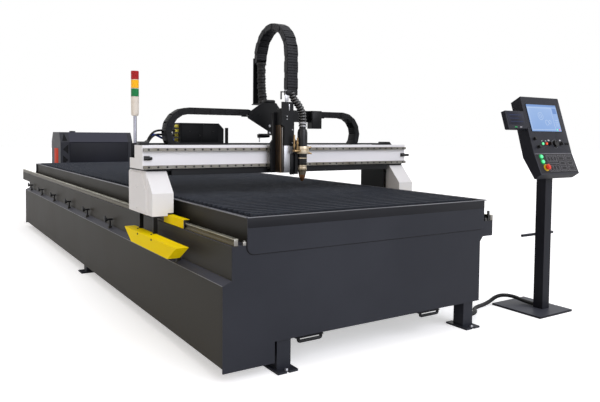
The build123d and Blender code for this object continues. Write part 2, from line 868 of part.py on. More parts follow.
# White covers over the drives, each a folded shell with a raised side panel, and the beam end caps
cover_outline = (
    (cover_front_y, cover_z), (cover_front_y, cover_brow_z), (cover_slope_y, cover_top_z),
    (cover_rear_y, cover_top_z), (cover_rear_y, cover_z),
)
cover_hollow = (
    (cover_front_y + sheet, cover_z - sheet), (cover_front_y + sheet, cover_brow_z - sheet / 2),
    (cover_slope_y + sheet / 2, cover_top_z - sheet), (cover_rear_y - sheet, cover_top_z - sheet),
    (cover_rear_y - sheet, cover_z - sheet),
)
cap_outline = (
    (beam_y, beam_z), (beam_y, beam_top_z), (beam_rear_y, beam_top_z), (beam_rear_y, tray_z + sheet),
    (tray_rear_y, tray_z + sheet), (tray_rear_y, beam_z),
)
wiper_left = rail_mid - wiper_width / 2
wiper_top_z = truck_shelf_z
with BuildPart() as end_covers:
    outline(plane_yz(cover_left), cover_outline, cover_right - cover_left)
    with BuildSketch(plane_yz(cover_left - panel_proud)) as side_panel:
        with Locations(((panel_y + cover_rear_y) / 2, (cover_z + panel_z) / 2)):
            Rectangle(cover_rear_y - panel_y, panel_z - cover_z)
        fillet(side_panel.vertices().group_by(Axis.Y)[-1].sort_by(Axis.X)[0], radius=panel_radius)
    extrude(amount=panel_proud)
    outline(plane_yz(cover_left + sheet), cover_hollow, cover_right - cover_left, mode=Mode.SUBTRACT)
    slab((wiper_left - cover_gap, cover_right), (cover_front_y, cover_front_y + sheet),
         (cover_z, wiper_top_z + truck_shelf + cover_gap), mode=Mode.SUBTRACT)
    slab((wiper_left - cover_gap, cover_right), (cover_rear_y - sheet, cover_rear_y),
         (cover_z, wiper_top_z + truck_shelf + cover_gap), mode=Mode.SUBTRACT)
    outline(plane_yz(beam_left - cap_plate), cap_outline, cap_plate)
    mirror(about=middle)
save(end_covers, "end_covers")

# Trucks that carry the beam on the running rails; the left one has the ramp posts
runner_section = (
    (rail_mid - rail_width / 2 - truck_plate, runner_bottom_z),
    (rail_mid - rail_width / 2 - truck_plate, truck_shelf_z),
    (rail_mid + rail_width / 2 + truck_plate, truck_shelf_z),
    (rail_mid + rail_width / 2 + truck_plate, runner_bottom_z),
)
truck_left = cover_left + 2 * sheet
with BuildPart() as end_trucks:
    slab((truck_inner_x - truck_plate, truck_inner_x), (truck_front_y, cover_rear_y - sheet),
         (cover_z, cover_top_z))
    slab((truck_left, truck_inner_x), (beam_y, cover_rear_y), (cover_top_z, beam_z))
    slab((truck_left, truck_inner_x), (truck_front_y, cover_rear_y - 2 * sheet),
         (truck_shelf_z, truck_shelf_z + truck_shelf))
    slab((rail_mid - rail_width / 2, rail_mid + rail_width / 2),
         (cover_front_y + 2 * sheet, cover_rear_y + wiper_rear_length / 2),
         (truck_shelf_z, truck_shelf_z + truck_shelf))
    for y in runner_y:
        outline(plane_xz(y + runner_length), runner_section, runner_length)
        with BuildSketch(plane_xz(y + runner_length)):
            with BuildLine():
                Polyline(*rail_section, close=True)
            make_face()
            offset(amount=rail_gap, kind=Kind.INTERSECTION, mode=Mode.REPLACE)
        extrude(amount=runner_length, mode=Mode.SUBTRACT)
    mirror(about=middle)
    slab((post_left, post_left + post_width), (post_ys[0], truck_front_y),
         (truck_shelf_z, truck_shelf_z + truck_shelf))
    for y in post_ys:
        slab((post_left, post_left + post_width), (y, y + post_depth),
             (ramp_top_z, truck_shelf_z + truck_shelf))
save(end_trucks, "end_trucks")

# Drive units on the truck shelves: gearbox and upright motor
drive_z = truck_shelf_z + truck_shelf
with BuildPart() as drive_units:
    slab((gearbox_x, gearbox_x + gearbox_size[0]), (gearbox_y, gearbox_y + gearbox_size[1]),
         (drive_z, drive_z + gearbox_size[2]))
    with BuildSketch(plane_xy(drive_z + gearbox_size[2])):
        with Locations((gearbox_x + gearbox_size[0] / 2, gearbox_y + gearbox_size[1] / 2)):
            RegularPolygon(motor_diameter / 2, motor_sides, major_radius=False)
    extrude(amount=motor_height)
    mirror(about=middle)
save(drive_units, "drive_units")

# Wipers over the running rails, in front of and behind each truck
with BuildPart() as rail_wipers:
    for start, end in ((wiper_front_y, wiper_front_y + wiper_length),
                       (cover_rear_y + 2 * sheet, cover_rear_y + 2 * sheet + wiper_rear_length)):
        slab((wiper_left, wiper_left + wiper_width), (start, end), (wiper_bottom_z, wiper_top_z))
        slab((wiper_left + wiper_sheet, wiper_left + wiper_width - wiper_sheet), (start, end),
             (wiper_bottom_z, wiper_top_z - wiper_sheet), mode=Mode.SUBTRACT)
    mirror(about=middle)
save(rail_wipers, "rail_wipers")

# Cam ramp, a folded sled with sloping ends, open on its inner side
ramp_outline = (
    (ramp_top_y[0], ramp_top_z), (ramp_top_y[1], ramp_top_z),
    (ramp_bottom_y[1], ramp_bottom_z), (ramp_bottom_y[0], ramp_bottom_z),
)
with BuildPart() as cam_ramp:
    outline(plane_yz(ramp_left), ramp_outline, ramp_width)
    inset(plane_yz(ramp_left + sheet), ramp_outline, sheet, ramp_width - sheet)
save(cam_ramp, "cam_ramp")

# Tray behind the beam for the two energy chains, with a bracket for the lead entry behind its lip
with BuildPart() as chain_tray:
    slab((beam_left, beam_right), (beam_rear_y, tray_rear_y), (tray_z, tray_z + sheet))
    slab((beam_left, beam_right), (tray_rear_y - sheet, tray_rear_y), (tray_z, tray_lip_z))
    slab((shelf_left, shelf_left + shelf_width), (tray_rear_y, tray_rear_y + shelf_depth),
         (beam_top_z - shelf_plate, beam_top_z))
    slab((shelf_left, shelf_left + shelf_plate), (tray_rear_y, tray_rear_y + shelf_depth),
         (beam_top_z - shelf_web, beam_top_z))
save(chain_tray, "chain_tray")

# Control box on the back of the tray, with one chamfered top corner and a mounting strip beside it
with BuildPart() as control_box:
    slab((box_left, box_left + box_width), (tray_rear_y, tray_rear_y + box_depth), (box_bottom_z, box_top_z))
    corner = control_box.edges().filter_by(Axis.Y).group_by(Axis.Z)[-1].sort_by(Axis.X)[-1]
    chamfer(corner, length=box_chamfer)
    slab((box_left + box_sheet_gap, box_left + box_width - box_sheet_gap),
         (tray_rear_y + box_sheet_gap, tray_rear_y + box_depth - box_sheet_gap),
         (box_bottom_z + box_sheet_gap, box_top_z - box_chamfer), mode=Mode.SUBTRACT)
    slab((box_left + box_width + box_strip / 2, box_left + box_width + 3 * box_strip / 2),
         (tray_rear_y, tray_rear_y + shelf_plate), (tray_z, box_strip_top_z))
save(control_box, "control_box")

# Beacon stand on the left truck, behind the chain tray: foot, pole and lamp base
with BuildPart() as beacon_stand:
    slab((beacon_x - beacon_foot / 2, beacon_x + beacon_foot / 2),
         (beacon_y - beacon_foot / 2, beacon_y + beacon_foot / 2), (beam_z, beam_z + shelf_plate))
    rod((beacon_x, beacon_y, beam_z), (beacon_x, beacon_y, beacon_body_z), beacon_pole / 2)
    rod((beacon_x, beacon_y, beacon_body_z), (beacon_x, beacon_y, lens_z[0]), beacon_body / 2)
save(beacon_stand, "beacon_stand")

# Three beacon lenses, stacked
with BuildPart() as beacon_lenses:
    for low, high in zip(lens_z, lens_z[1:]):
        rod((beacon_x, beacon_y, low), (beacon_x, beacon_y, high - lens_gap), beacon_body / 2)
save(beacon_lenses, "beacon_lenses")

# Energy chain links: side plates pinned alternately outside and inside their neighbours
link_pitch = 2 * chain_radius * math.sin(math.pi / bend_links / 2)
link_end = link_pitch / 2 + link_tip
link_shoulder = link_pitch / 2 + link_tip / 4
link_outline = (
    (link_end, 0), (link_shoulder, link_half_height), (-link_shoulder, link_half_height),
    (-link_end, 0), (-link_shoulder, -link_half_height), (link_shoulder, -link_half_height),
)


def build_link(half_width):
    """One link: two side plates and the two bars between them, running along X."""
    with BuildPart() as link:
        for side in (-1, 1):
            near = side * (half_width - link_sheet)
            plane = Plane(origin=(0, near, 0), x_dir=(side, 0, 0), z_dir=(0, side, 0))
            outline(plane, link_outline, link_sheet)
        for level in (-1, 1):
            with Locations((0, 0, level * (link_half_height - link_bar_height))):
                Box(link_bar_width, 2 * (half_width - link_sheet), link_bar_height)
    return link.part


outer_link = build_link(link_width / 2)
inner_link = build_link(link_width / 2 - link_sheet - link_fit)


def bend_pivots(radius, turns, begin):
    """Pivots of a half-circle bend about its own centre, counted from the given angle."""
    steps = [math.radians(begin + 180 * i / turns) for i in range(turns + 1)]
    return [(radius * math.cos(a), radius * math.sin(a)) for a in steps]


def add_links(pivots, across):
    """Place outer and inner links by turns between neighbouring pivots."""
    for i, (start, end) in enumerate(zip(pivots, pivots[1:])):
        run = Vector(*end) - Vector(*start)
        middle_point = (Vector(*start) + Vector(*end)) / 2
        place = Plane(origin=at(*middle_point), x_dir=run, z_dir=run.cross(across))
        with Locations(place.location):
            add(inner_link if i % 2 else outer_link)


lower_z = tray_z + sheet + chain_lift + link_half_height
upper_z = lower_z + 2 * chain_radius
bend_z = lower_z + chain_radius

# Left chain: from the carriage over the left bend and back along the tray
left_pivots = [(left_bend_x + link_pitch * i, upper_z) for i in range(left_upper_links, 0, -1)]
left_pivots += [(left_bend_x + x, bend_z + z) for x, z in bend_pivots(chain_radius, bend_links, 90)]
left_pivots += [(left_bend_x + link_pitch * i, lower_z) for i in range(1, left_lower_links + 1)]
with BuildPart() as left_chain:
    add_links([(x, chain_y, z) for x, z in left_pivots], Vector(0, 1, 0))
save(left_chain, "left_chain")

# Right chain: the same, bent the other way
right_pivots = [(right_bend_x - link_pitch * i, upper_z) for i in range(right_upper_links, 0, -1)]
right_pivots += [(right_bend_x - x, bend_z + z) for x, z in bend_pivots(chain_radius, bend_links, 90)]
right_pivots += [(right_bend_x - link_pitch * i, lower_z) for i in range(1, right_lower_links + 1)]
with BuildPart() as right_chain:
    add_links([(x, chain_y, z) for x, z in right_pivots], Vector(0, 1, 0))
save(right_chain, "right_chain")

# Arched chain: up from the torch lift and over to the back of the carriage
arch_radius = link_pitch / 2 / math.sin(math.pi / arch_links / 2)
arch_low_z = arch_front_z + link_tip + chain_lift
arch_bend_z = arch_low_z + link_pitch * arch_front_links
arch_mid_y = arch_front_y + arch_radius
arch_rear_y = arch_front_y + 2 * arch_radius
arch_pivots = [(arch_front_y, arch_low_z + link_pitch * i) for i in range(arch_front_links)]
arch_pivots += [(arch_mid_y + y, arch_bend_z + z) for y, z in bend_pivots(arch_radius, arch_links, 0)[::-1]]
with BuildPart() as arch_chain:
    add_links([(arch_x, y, z) for y, z in arch_pivots], Vector(1, 0, 0))
save(arch_chain, "arch_chain")

# Carriage plate with a narrower neck above the beam
carriage_outline = (
    (plate_left, plate_bottom_z), (plate_left, plate_shoulder_z), (plate_neck[0], plate_shoulder_z + flange),
    (plate_neck[0], plate_top_z), (plate_neck[1], plate_top_z), (plate_neck[1], plate_shoulder_z + flange),
    (plate_right, plate_shoulder_z), (plate_right, plate_bottom_z),
)
plate_rear_y = plate_y + plate_thickness
with BuildPart() as carriage_plate:
    outline(plane_xz(plate_rear_y), carriage_outline, plate_thickness)
save(carriage_plate, "carriage_plate")

# Bearing blocks that grip the guide rails
with BuildPart() as bearing_blocks:
    for x in block_x:
        for z in guide_z:
            slab((x - block_size[0] / 2, x + block_size[0] / 2), (plate_rear_y, plate_rear_y + block_size[1]),
                 (z - block_size[2] / 2, z + block_size[2] / 2))
            grip = (
                (beam_y, z - guide_width / 2 - block_fit), (beam_y, z + guide_width / 2 + block_fit),
                (beam_y - guide_height / 2, z + guide_width / 4 + block_fit),
                (beam_y - guide_height - block_fit, z + guide_width / 2 + block_fit),
                (beam_y - guide_height - block_fit, z - guide_width / 2 - block_fit),
                (beam_y - guide_height / 2, z - guide_width / 4 - block_fit),
            )
            outline(plane_yz(x - block_size[0] / 2), grip, block_size[0], mode=Mode.SUBTRACT)
save(bearing_blocks, "bearing_blocks")

# Lifter column: a square tube with a slot on its right for the nut
column_right = column_left + column_width
screw_x = column_left + column_width / 2
screw_y = (column_front_y + plate_y) / 2
with BuildPart() as lifter_column:
    slab((column_left, column_right), (column_front_y, plate_y), (column_bottom_z, column_top_z))
    slab((column_left + column_wall, column_right - column_wall),
         (column_front_y + column_wall, plate_y - column_wall),
         (column_bottom_z + column_wall, column_top_z - column_wall), mode=Mode.SUBTRACT)
    slab((column_right - column_wall, column_right), (screw_y - column_slot / 2, screw_y + column_slot / 2),
         (column_bottom_z + column_wall, column_top_z - column_wall), mode=Mode.SUBTRACT)
    rod((screw_x, screw_y, column_bottom_z), (screw_x, screw_y, column_top_z), screw_diameter / 2 + screw_fit,
        mode=Mode.SUBTRACT)
save(lifter_column, "lifter_column")

# Lifter screw between its two bearings
with BuildPart() as lifter_screw:
    rod((screw_x, screw_y, column_bottom_z), (screw_x, screw_y, column_top_z - screw_fit), screw_diameter / 2)
save(lifter_screw, "lifter_screw")

# Lifter motor on top of the column
with BuildPart() as lifter_motor:
    slab((column_left, column_right), (column_front_y, plate_y), (column_top_z, lifter_motor_top_z))
    chamfer(lifter_motor.edges().filter_by(Axis.Z), length=column_wall)
save(lifter_motor, "lifter_motor")

# Chain arms: bridge over the beam, rear plate, lead box, tabs for the chain ends and a strut for the arch
tab_z = upper_z - link_half_height - link_fit - tab_plate
with BuildPart() as chain_arms:
    slab(plate_neck, (plate_rear_y, arm_rear_y), (bridge_z, bridge_z + bridge_plate))
    outline(plane_xz(arm_rear_y), arm_outline, arm_plate)
    slab(lead_box, (arm_rear_y - lead_box_depth, arm_rear_y), lead_box_z)
    slab(left_tab, (arm_rear_y - arm_plate, chain_y + link_width / 2), (tab_z, tab_z + tab_plate))
    slab(right_tab, (arm_rear_y - arm_plate, chain_y + link_width / 2), (tab_z, tab_z + tab_plate))
    shelf_top_z = arm_outline[2][1]
    strut_y = arch_rear_y + link_half_height + 3 * link_fit
    slab(sleeve_shelf, (arm_rear_y - arm_plate, strut_y + arm_plate), (shelf_top_z - arm_plate, shelf_top_z))
    slab(tab_reach, (strut_y, strut_y + arm_plate), (shelf_top_z, arch_bend_z + link_tip))
save(chain_arms, "chain_arms")

# Sleeved lead bundle that leans from the arched chain down to the carriage
with BuildPart() as lead_sleeve:
    sleeve_top_z = arch_bend_z - link_tip - 2 * chain_lift
    sleeve_head_y = strut_y - link_fit - sleeve_diameter / 2
    for y, z in ((sleeve_foot_y, shelf_top_z + link_fit), (sleeve_head_y, sleeve_top_z)):
        with BuildSketch(plane_xy(z)):
            with Locations((arch_x, y)):
                Circle(sleeve_diameter / 2)
    loft(ruled=True)
save(lead_sleeve, "lead_sleeve")

# Slide plate with the lifter nut and the riser that holds the front end of the arched chain
slide_left = column_right + slide_gap
slide_right = slide_left + slide_width
slide_middle_z = sum(slide_z) / 2
riser_y = (slide_front_y - strip_thickness, slide_front_y)
with BuildPart() as slide_plate:
    slab((slide_left, slide_right), (slide_front_y, slide_front_y + slide_depth), slide_z)
    slab((screw_x - nut_width / 2, slide_left), (screw_y - nut_width / 2, screw_y + nut_width / 2),
         (nut_z - nut_height / 2, nut_z + nut_height / 2))
    rod((screw_x, screw_y, slide_z[0]), (screw_x, screw_y, slide_z[1]), screw_diameter / 2 + screw_fit,
        mode=Mode.SUBTRACT)
    slab((riser_x, slide_left + strip_width), riser_y, (slide_middle_z, slide_z[1]))
    slab((riser_x, riser_x + strip_width), riser_y, (slide_middle_z, arch_front_z))
    slab(tab_reach, (arch_front_y - strip_width, arch_front_y + strip_width),
         (arch_front_z - strip_thickness, arch_front_z))
save(slide_plate, "slide_plate")

# Torch holder: side block and clamp ring
with BuildPart() as torch_holder:
    slab((slide_right, holder_right), (torch_y, torch_y + holder_depth), (holder_bottom_z, clamp_z[1]))
    rod((torch_x, torch_y, clamp_z[0]), (torch_x, torch_y, clamp_z[1]), clamp_radius)
    rod((torch_x, torch_y, holder_bottom_z), (torch_x, torch_y, clamp_z[1]), torch_radius + torch_fit,
        mode=Mode.SUBTRACT)
save(torch_holder, "torch_holder")

# Torch body, turned
with BuildPart() as torch_body:
    with BuildSketch(Plane(origin=at(torch_x, torch_y, 0), x_dir=(1, 0, 0), z_dir=(0, -1, 0))):
        with BuildLine():
            Polyline(
                (0, barrel_bottom_z), (torch_radius, barrel_bottom_z), (torch_radius, barrel_top_z),
                (neck_radius, neck_top_z), (0, neck_top_z), close=True,
            )
        make_face()
    revolve(axis=Axis(at(torch_x, torch_y, 0), (0, 0, 1)))
save(torch_body, "torch_body")

# Retaining cap, shield and nozzle, stepped down to the tip
with BuildPart() as torch_nozzle:
    rod((torch_x, torch_y, cap_bottom_z), (torch_x, torch_y, barrel_bottom_z), cap_radius)
    rod((torch_x, torch_y, shield_bottom_z), (torch_x, torch_y, cap_bottom_z), shield_radius)
    rod((torch_x, torch_y, nozzle_tip_z), (torch_x, torch_y, shield_bottom_z), nozzle_radius)
save(torch_nozzle, "torch_nozzle")

# Ribbed torch hose from the barrel up to the riser tab, drawn through level sections
with BuildPart() as torch_hose:
    with BuildLine(mode=Mode.PRIVATE) as hose_line:
        Spline(*[at(*p) for p in hose_route], tangents=((0, 0, 1), (0, 0, 1)))
    rib_stations = [(i + share) / hose_ribs for i in range(hose_ribs) for share, _ in rib_profile]
    rib_radii = [radius for _ in range(hose_ribs) for _, radius in rib_profile]
    for station, radius in zip(rib_stations + [1], rib_radii + [hose_root_radius]):
        with BuildSketch(Plane(origin=hose_line.line @ station)):
            RegularPolygon(radius, hose_sides)
    loft(ruled=True)
    for i in range(bore_runs + 1):
        with BuildSketch(Plane(origin=hose_line.line @ (i / bore_runs))):
            RegularPolygon(hose_bore_radius, hose_sides)
    loft(ruled=True, mode=Mode.SUBTRACT)
save(torch_hose, "torch_hose")
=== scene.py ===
import json
import logging
import math
from dataclasses import dataclass
from enum import Enum
from typing import Callable, Iterable, Optional, Protocol, Sequence

import bmesh
import bpy
from bmesh.types import BMVert
from bpy.types import Material, Node, NodeTree, Object
from mathutils import Matrix, Vector


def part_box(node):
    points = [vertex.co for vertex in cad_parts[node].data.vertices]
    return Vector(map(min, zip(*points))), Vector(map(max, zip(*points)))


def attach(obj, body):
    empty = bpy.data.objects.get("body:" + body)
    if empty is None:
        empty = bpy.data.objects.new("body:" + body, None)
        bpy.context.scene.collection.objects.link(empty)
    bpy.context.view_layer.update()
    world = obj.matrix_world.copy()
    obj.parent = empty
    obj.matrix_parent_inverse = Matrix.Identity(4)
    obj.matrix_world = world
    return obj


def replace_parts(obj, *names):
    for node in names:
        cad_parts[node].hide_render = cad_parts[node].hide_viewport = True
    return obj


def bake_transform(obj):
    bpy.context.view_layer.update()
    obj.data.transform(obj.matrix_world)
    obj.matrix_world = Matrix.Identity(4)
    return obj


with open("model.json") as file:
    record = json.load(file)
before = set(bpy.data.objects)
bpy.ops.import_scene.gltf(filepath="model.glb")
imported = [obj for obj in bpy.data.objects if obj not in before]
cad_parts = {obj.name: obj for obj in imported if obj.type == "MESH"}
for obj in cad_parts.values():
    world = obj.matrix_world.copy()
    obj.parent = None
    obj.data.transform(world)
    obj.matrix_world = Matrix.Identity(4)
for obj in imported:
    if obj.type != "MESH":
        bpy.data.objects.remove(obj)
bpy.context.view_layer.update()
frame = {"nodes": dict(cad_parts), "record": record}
LOG = logging.getLogger("cutting_machine")
MM = 0.001
Triple = tuple[float, float, float]
Pair = tuple[float, float]
# Rows of an outline or of a turned profile, and a block's low corner, high corner and rounding
Pairs = tuple[Pair, ...]
Block = tuple[Triple, Triple, float]
UP: Triple = (0, 0, 1)
DOWN: Triple = (0, 0, -1)
FORWARD: Triple = (0, -1, 0)
BACK: Triple = (0, 1, 0)
RIGHT: Triple = (1, 0, 0)
LEFT: Triple = (-1, 0, 0)

# Places are written in mm from the left skirt of the table, its front plate and the floor
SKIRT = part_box("extraction_duct")[0]
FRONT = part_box("end_plates")[0]
DATUM = Matrix.Translation((SKIRT[0], FRONT[1], 0.0)) @ Matrix.Scale(MM, 4)


def at(x: float, y: float, z: float) -> Vector:
    """Turn a place in mm into the row frame in metres."""
    return DATUM @ Vector((x, y, z))


def linear(code: str) -> tuple[float, float, float, float]:
    """Turn an sRGB hex colour into linear RGBA.

    Args:
        code: Colour as six hex digits after a hash.

    Returns:
        Linear red, green, blue and an alpha of 1.
    """
    parts = [int(code[i:i + 2], 16) / 255 for i in (1, 3, 5)]
    red, green, blue = [c / 12.92 if c <= 0.04045 else ((c + 0.055) / 1.055) ** 2.4 for c in parts]
    return red, green, blue, 1.0


def per_metre(size_mm: float) -> float:
    """Texture scale that gives features of a size in mm."""
    return 1000.0 / size_mm


def set_sockets(tree: NodeTree, node: Node, inputs: dict, links: dict) -> None:
    """Set and link the input sockets of a node.

    Args:
        tree: Node tree that holds the node.
        node: The node.
        inputs: Socket values by socket name or index.
        links: For each linked socket, the node and the output that feed it.
    """
    for key, value in inputs.items():
        node.inputs[key].default_value = value
    for key, (source, output) in links.items():
        tree.links.new(source.outputs[output], node.inputs[key])


def add_node(tree: NodeTree, kind: str, inputs: Optional[dict] = None,
             links: Optional[dict] = None, **settings: object) -> Node:
    """Add one shader node with its settings and links.

    Args:
        tree: Node tree that takes the node.
        kind: Blender's name for the node type.
        inputs: Socket values by socket name or index.
        links: For each linked socket, the node and the output that feed it.
        settings: Attributes of the node itself.

    Returns:
        The new node.
    """
    node = tree.nodes.new(kind)
    for key, value in settings.items():
        setattr(node, key, value)
    set_sockets(tree, node, inputs or {}, links or {})
    return node


def start_material(name: str) -> tuple[Material, NodeTree, Node, tuple]:
    """Start a node material.

    Args:
        name: Name of the material.

    Returns:
        The material, its tree, its surface shader, and the node and output that give object coordinates.
    """
    material = bpy.data.materials.new(name)
    material.use_nodes = True
    tree = material.node_tree
    return material, tree, tree.nodes["Principled BSDF"], (add_node(tree, "ShaderNodeTexCoord"), "Object")


class Finish(Protocol):
    """Anything that can make a Blender material."""

    name: str

    def build(self) -> Material:
        """Make the material."""


class Lay(Enum):
    """Direction of the fine lines that a tool leaves on metal."""

    ALONG_X = (0.04, 1.0, 1.0)
    ALONG_Y = (1.0, 0.04, 1.0)
    ALONG_Z = (1.0, 1.0, 0.04)
    NONE = (1.0, 1.0, 1.0)


@dataclass(frozen=True)
class PowderCoat:
    """Thin even coat on metal: baked powder, sprayed enamel, oiled oxide or black anodising.

    The eye sees an even satin sheen with a faint orange peel, and slow clouds where dust and hands have been.
    """

    name: str
    colour: str
    worn: str
    roughness: float
    # Real peel is 1 to 2 mm across; drawn coarser so that it shows at this size
    peel_mm: float = 4.0
    cloud_mm: float = 420.0
    peel_strength: float = 0.12
    gleam: float = 0.22
    # Colour of faces that look up: painted light from above
    top: Optional[str] = None

    def build(self) -> Material:
        """Make the material.

        Returns:
            The new material.
        """
        material, tree, shader, place = start_material(self.name)
        cloud = add_node(tree, "ShaderNodeTexNoise", {"Scale": per_metre(self.cloud_mm), "Detail": 5.0},
                         {"Vector": place})
        shade = add_node(tree, "ShaderNodeMapRange", {"From Min": 0.38, "From Max": 0.72},
                         {"Value": (cloud, "Fac")})
        tint = add_node(tree, "ShaderNodeMix", {6: linear(self.colour), 7: linear(self.worn)},
                        {0: (shade, "Result")}, data_type="RGBA")
        # Faces that look up take painted light from above
        if self.top:
            facing = add_node(tree, "ShaderNodeNewGeometry")
            height = add_node(tree, "ShaderNodeSeparateXYZ", {}, {"Vector": (facing, "Normal")})
            lit_top_share = add_node(tree, "ShaderNodeMapRange", {"From Min": 0.25, "From Max": 0.6},
                               {"Value": (height, "Z")})
            tint = add_node(tree, "ShaderNodeMix", {7: linear(self.top)}, {0: (lit_top_share, "Result"), 6: (tint, 2)},
                            data_type="RGBA")
        gloss = add_node(tree, "ShaderNodeMapRange",
                         {"To Min": self.roughness - 0.05, "To Max": self.roughness + 0.08},
                         {"Value": (cloud, "Fac")})
        peel = add_node(tree, "ShaderNodeTexNoise", {"Scale": per_metre(self.peel_mm), "Detail": 2.0},
                        {"Vector": place})
        bump = add_node(tree, "ShaderNodeBump", {"Strength": self.peel_strength, "Distance": 0.2 * MM},
                        {"Height": (peel, "Fac")})
        set_sockets(tree, shader, {"IOR": 1.5, "Specular IOR Level": self.gleam},
                    {"Base Color": (tint, 2), "Roughness": (gloss, "Result"), "Normal": (bump, "Normal")})
        return material


@dataclass(frozen=True)
class WorkedMetal:
    """Bare metal, ground, milled, turned, plated or anodised.

    The eye sees bright streaks along the tool's lay and duller patches of handling film.
    """

    name: str
    colour: str
    film: str
    roughness: float
    lay: Lay = Lay.NONE
    # Real tool lines are 0.1 to 0.3 mm apart; drawn coarser so that they show at this size
    line_mm: float = 1.2
    line_strength: float = 0.25
    film_mm: float = 160.0
    # Colour of the painted shade below the running top, the height in mm where the rubbed top begins, and how deep it
    # fades in
    side: Optional[str] = None
    rubbed_from: float = 0.0
    rubbed_depth: float = 2.0

    def build(self) -> Material:
        """Make the material.

        Returns:
            The new material.
        """
        material, tree, shader, place = start_material(self.name)
        turned = add_node(tree, "ShaderNodeMapping", {"Scale": self.lay.value}, {"Vector": place})
        lines = add_node(tree, "ShaderNodeTexNoise", {"Scale": per_metre(self.line_mm), "Detail": 3.0},
                         {"Vector": (turned, "Vector")})
        patch = add_node(tree, "ShaderNodeTexNoise", {"Scale": per_metre(self.film_mm), "Detail": 6.0},
                         {"Vector": place})
        share = add_node(tree, "ShaderNodeMapRange", {"From Min": 0.42, "From Max": 0.7}, {"Value": (patch, "Fac")})
        tint = add_node(tree, "ShaderNodeMix", {6: linear(self.colour), 7: linear(self.film)},
                        {0: (share, "Result")}, data_type="RGBA")
        # Painted shade on the faces below the running top
        if self.side:
            height = add_node(tree, "ShaderNodeSeparateXYZ", {}, {"Vector": place})
            rubbed = add_node(tree, "ShaderNodeMapRange", {"From Min": self.rubbed_from * MM,
                               "From Max": (self.rubbed_from + self.rubbed_depth) * MM},
                              {"Value": (height, "Z")})
            tint = add_node(tree, "ShaderNodeMix", {6: linear(self.side)}, {0: (rubbed, "Result"), 7: (tint, 2)},
                            data_type="RGBA")
        gloss = add_node(tree, "ShaderNodeMapRange",
                         {"To Min": self.roughness - 0.08, "To Max": self.roughness + 0.12},
                         {"Value": (lines, "Fac")})
        bump = add_node(tree, "ShaderNodeBump", {"Strength": self.line_strength, "Distance": 0.1 * MM},
                        {"Height": (lines, "Fac")})
        set_sockets(tree, shader, {"Metallic": 1.0},
                    {"Base Color": (tint, 2), "Roughness": (gloss, "Result"), "Normal": (bump, "Normal")})
        return material


@dataclass(frozen=True)
class ScaledSteel:
    """Mild steel plate that sparks and slag have burnt.

    The eye sees blue-grey mill scale, brown heat tint, a crust of small slag beads and a paler top edge, partly ash and
    partly painted highlight.
    """

    name: str
    scale_colour: str
    deep_colour: str
    tint_colour: str
    soot_colour: str
    edge_colour: str
    # Heights in mm between which the top edge turns paler, with ash and painted highlight, and the share of the edge
    # colour at the top
    edge_levels: Pair = (824.0, 838.0)
    edge_share: float = 0.15
    tone_mm: float = 180.0
    tint_mm: float = 90.0
    # Real beads are 1 to 3 mm across; drawn coarser so that they show at this size
    bead_mm: float = 7.0

    def build(self) -> Material:
        """Make the material.

        Returns:
            The new material.
        """
        material, tree, shader, place = start_material(self.name)
        heat = add_node(tree, "ShaderNodeTexNoise", {"Scale": per_metre(self.tint_mm), "Detail": 7.0},
                        {"Vector": place})
        warm = add_node(tree, "ShaderNodeMapRange", {"From Min": 0.5, "From Max": 0.72}, {"Value": (heat, "Fac")})
        beads = add_node(tree, "ShaderNodeTexVoronoi", {"Scale": per_metre(self.bead_mm)}, {"Vector": place})
        soot = add_node(tree, "ShaderNodeMapRange", {"From Min": 0.1, "From Max": 0.55},
                        {"Value": (beads, "Distance")})
        drawn = add_node(tree, "ShaderNodeMapping", {"Scale": (0.25, 1.0, 1.0)}, {"Vector": place})
        tone = add_node(tree, "ShaderNodeTexNoise", {"Scale": per_metre(self.tone_mm), "Detail": 4.0},
                        {"Vector": (drawn, "Vector")})
        depth = add_node(tree, "ShaderNodeMapRange", {"From Min": 0.38, "From Max": 0.62}, {"Value": (tone, "Fac")})
        tint = add_node(tree, "ShaderNodeMix", {6: linear(self.deep_colour), 7: linear(self.scale_colour)},
                        {0: (depth, "Result")}, data_type="RGBA")
        height = add_node(tree, "ShaderNodeSeparateXYZ", {}, {"Vector": place})
        # Paler top edge: ash and painted highlight
        bare = add_node(tree, "ShaderNodeMapRange",
                        {"From Min": self.edge_levels[0] * MM, "From Max": self.edge_levels[1] * MM,
                         "To Max": self.edge_share},
                        {"Value": (height, "Z")})
        for share, colour in ((warm, self.tint_colour), (soot, self.soot_colour), (bare, self.edge_colour)):
            tint = add_node(tree, "ShaderNodeMix", {7: linear(colour)}, {0: (share, "Result"), 6: (tint, 2)},
                            data_type="RGBA")
        bump = add_node(tree, "ShaderNodeBump", {"Strength": 0.5, "Distance": 0.6 * MM},
                        {"Height": (beads, "Distance")})
        gloss = add_node(tree, "ShaderNodeMapRange", {"To Min": 0.38, "To Max": 0.7}, {"Value": (heat, "Fac")})
        set_sockets(tree, shader, {"Metallic": 0.6},
                    {"Base Color": (tint, 2), "Roughness": (gloss, "Result"), "Normal": (bump, "Normal")})
        return material


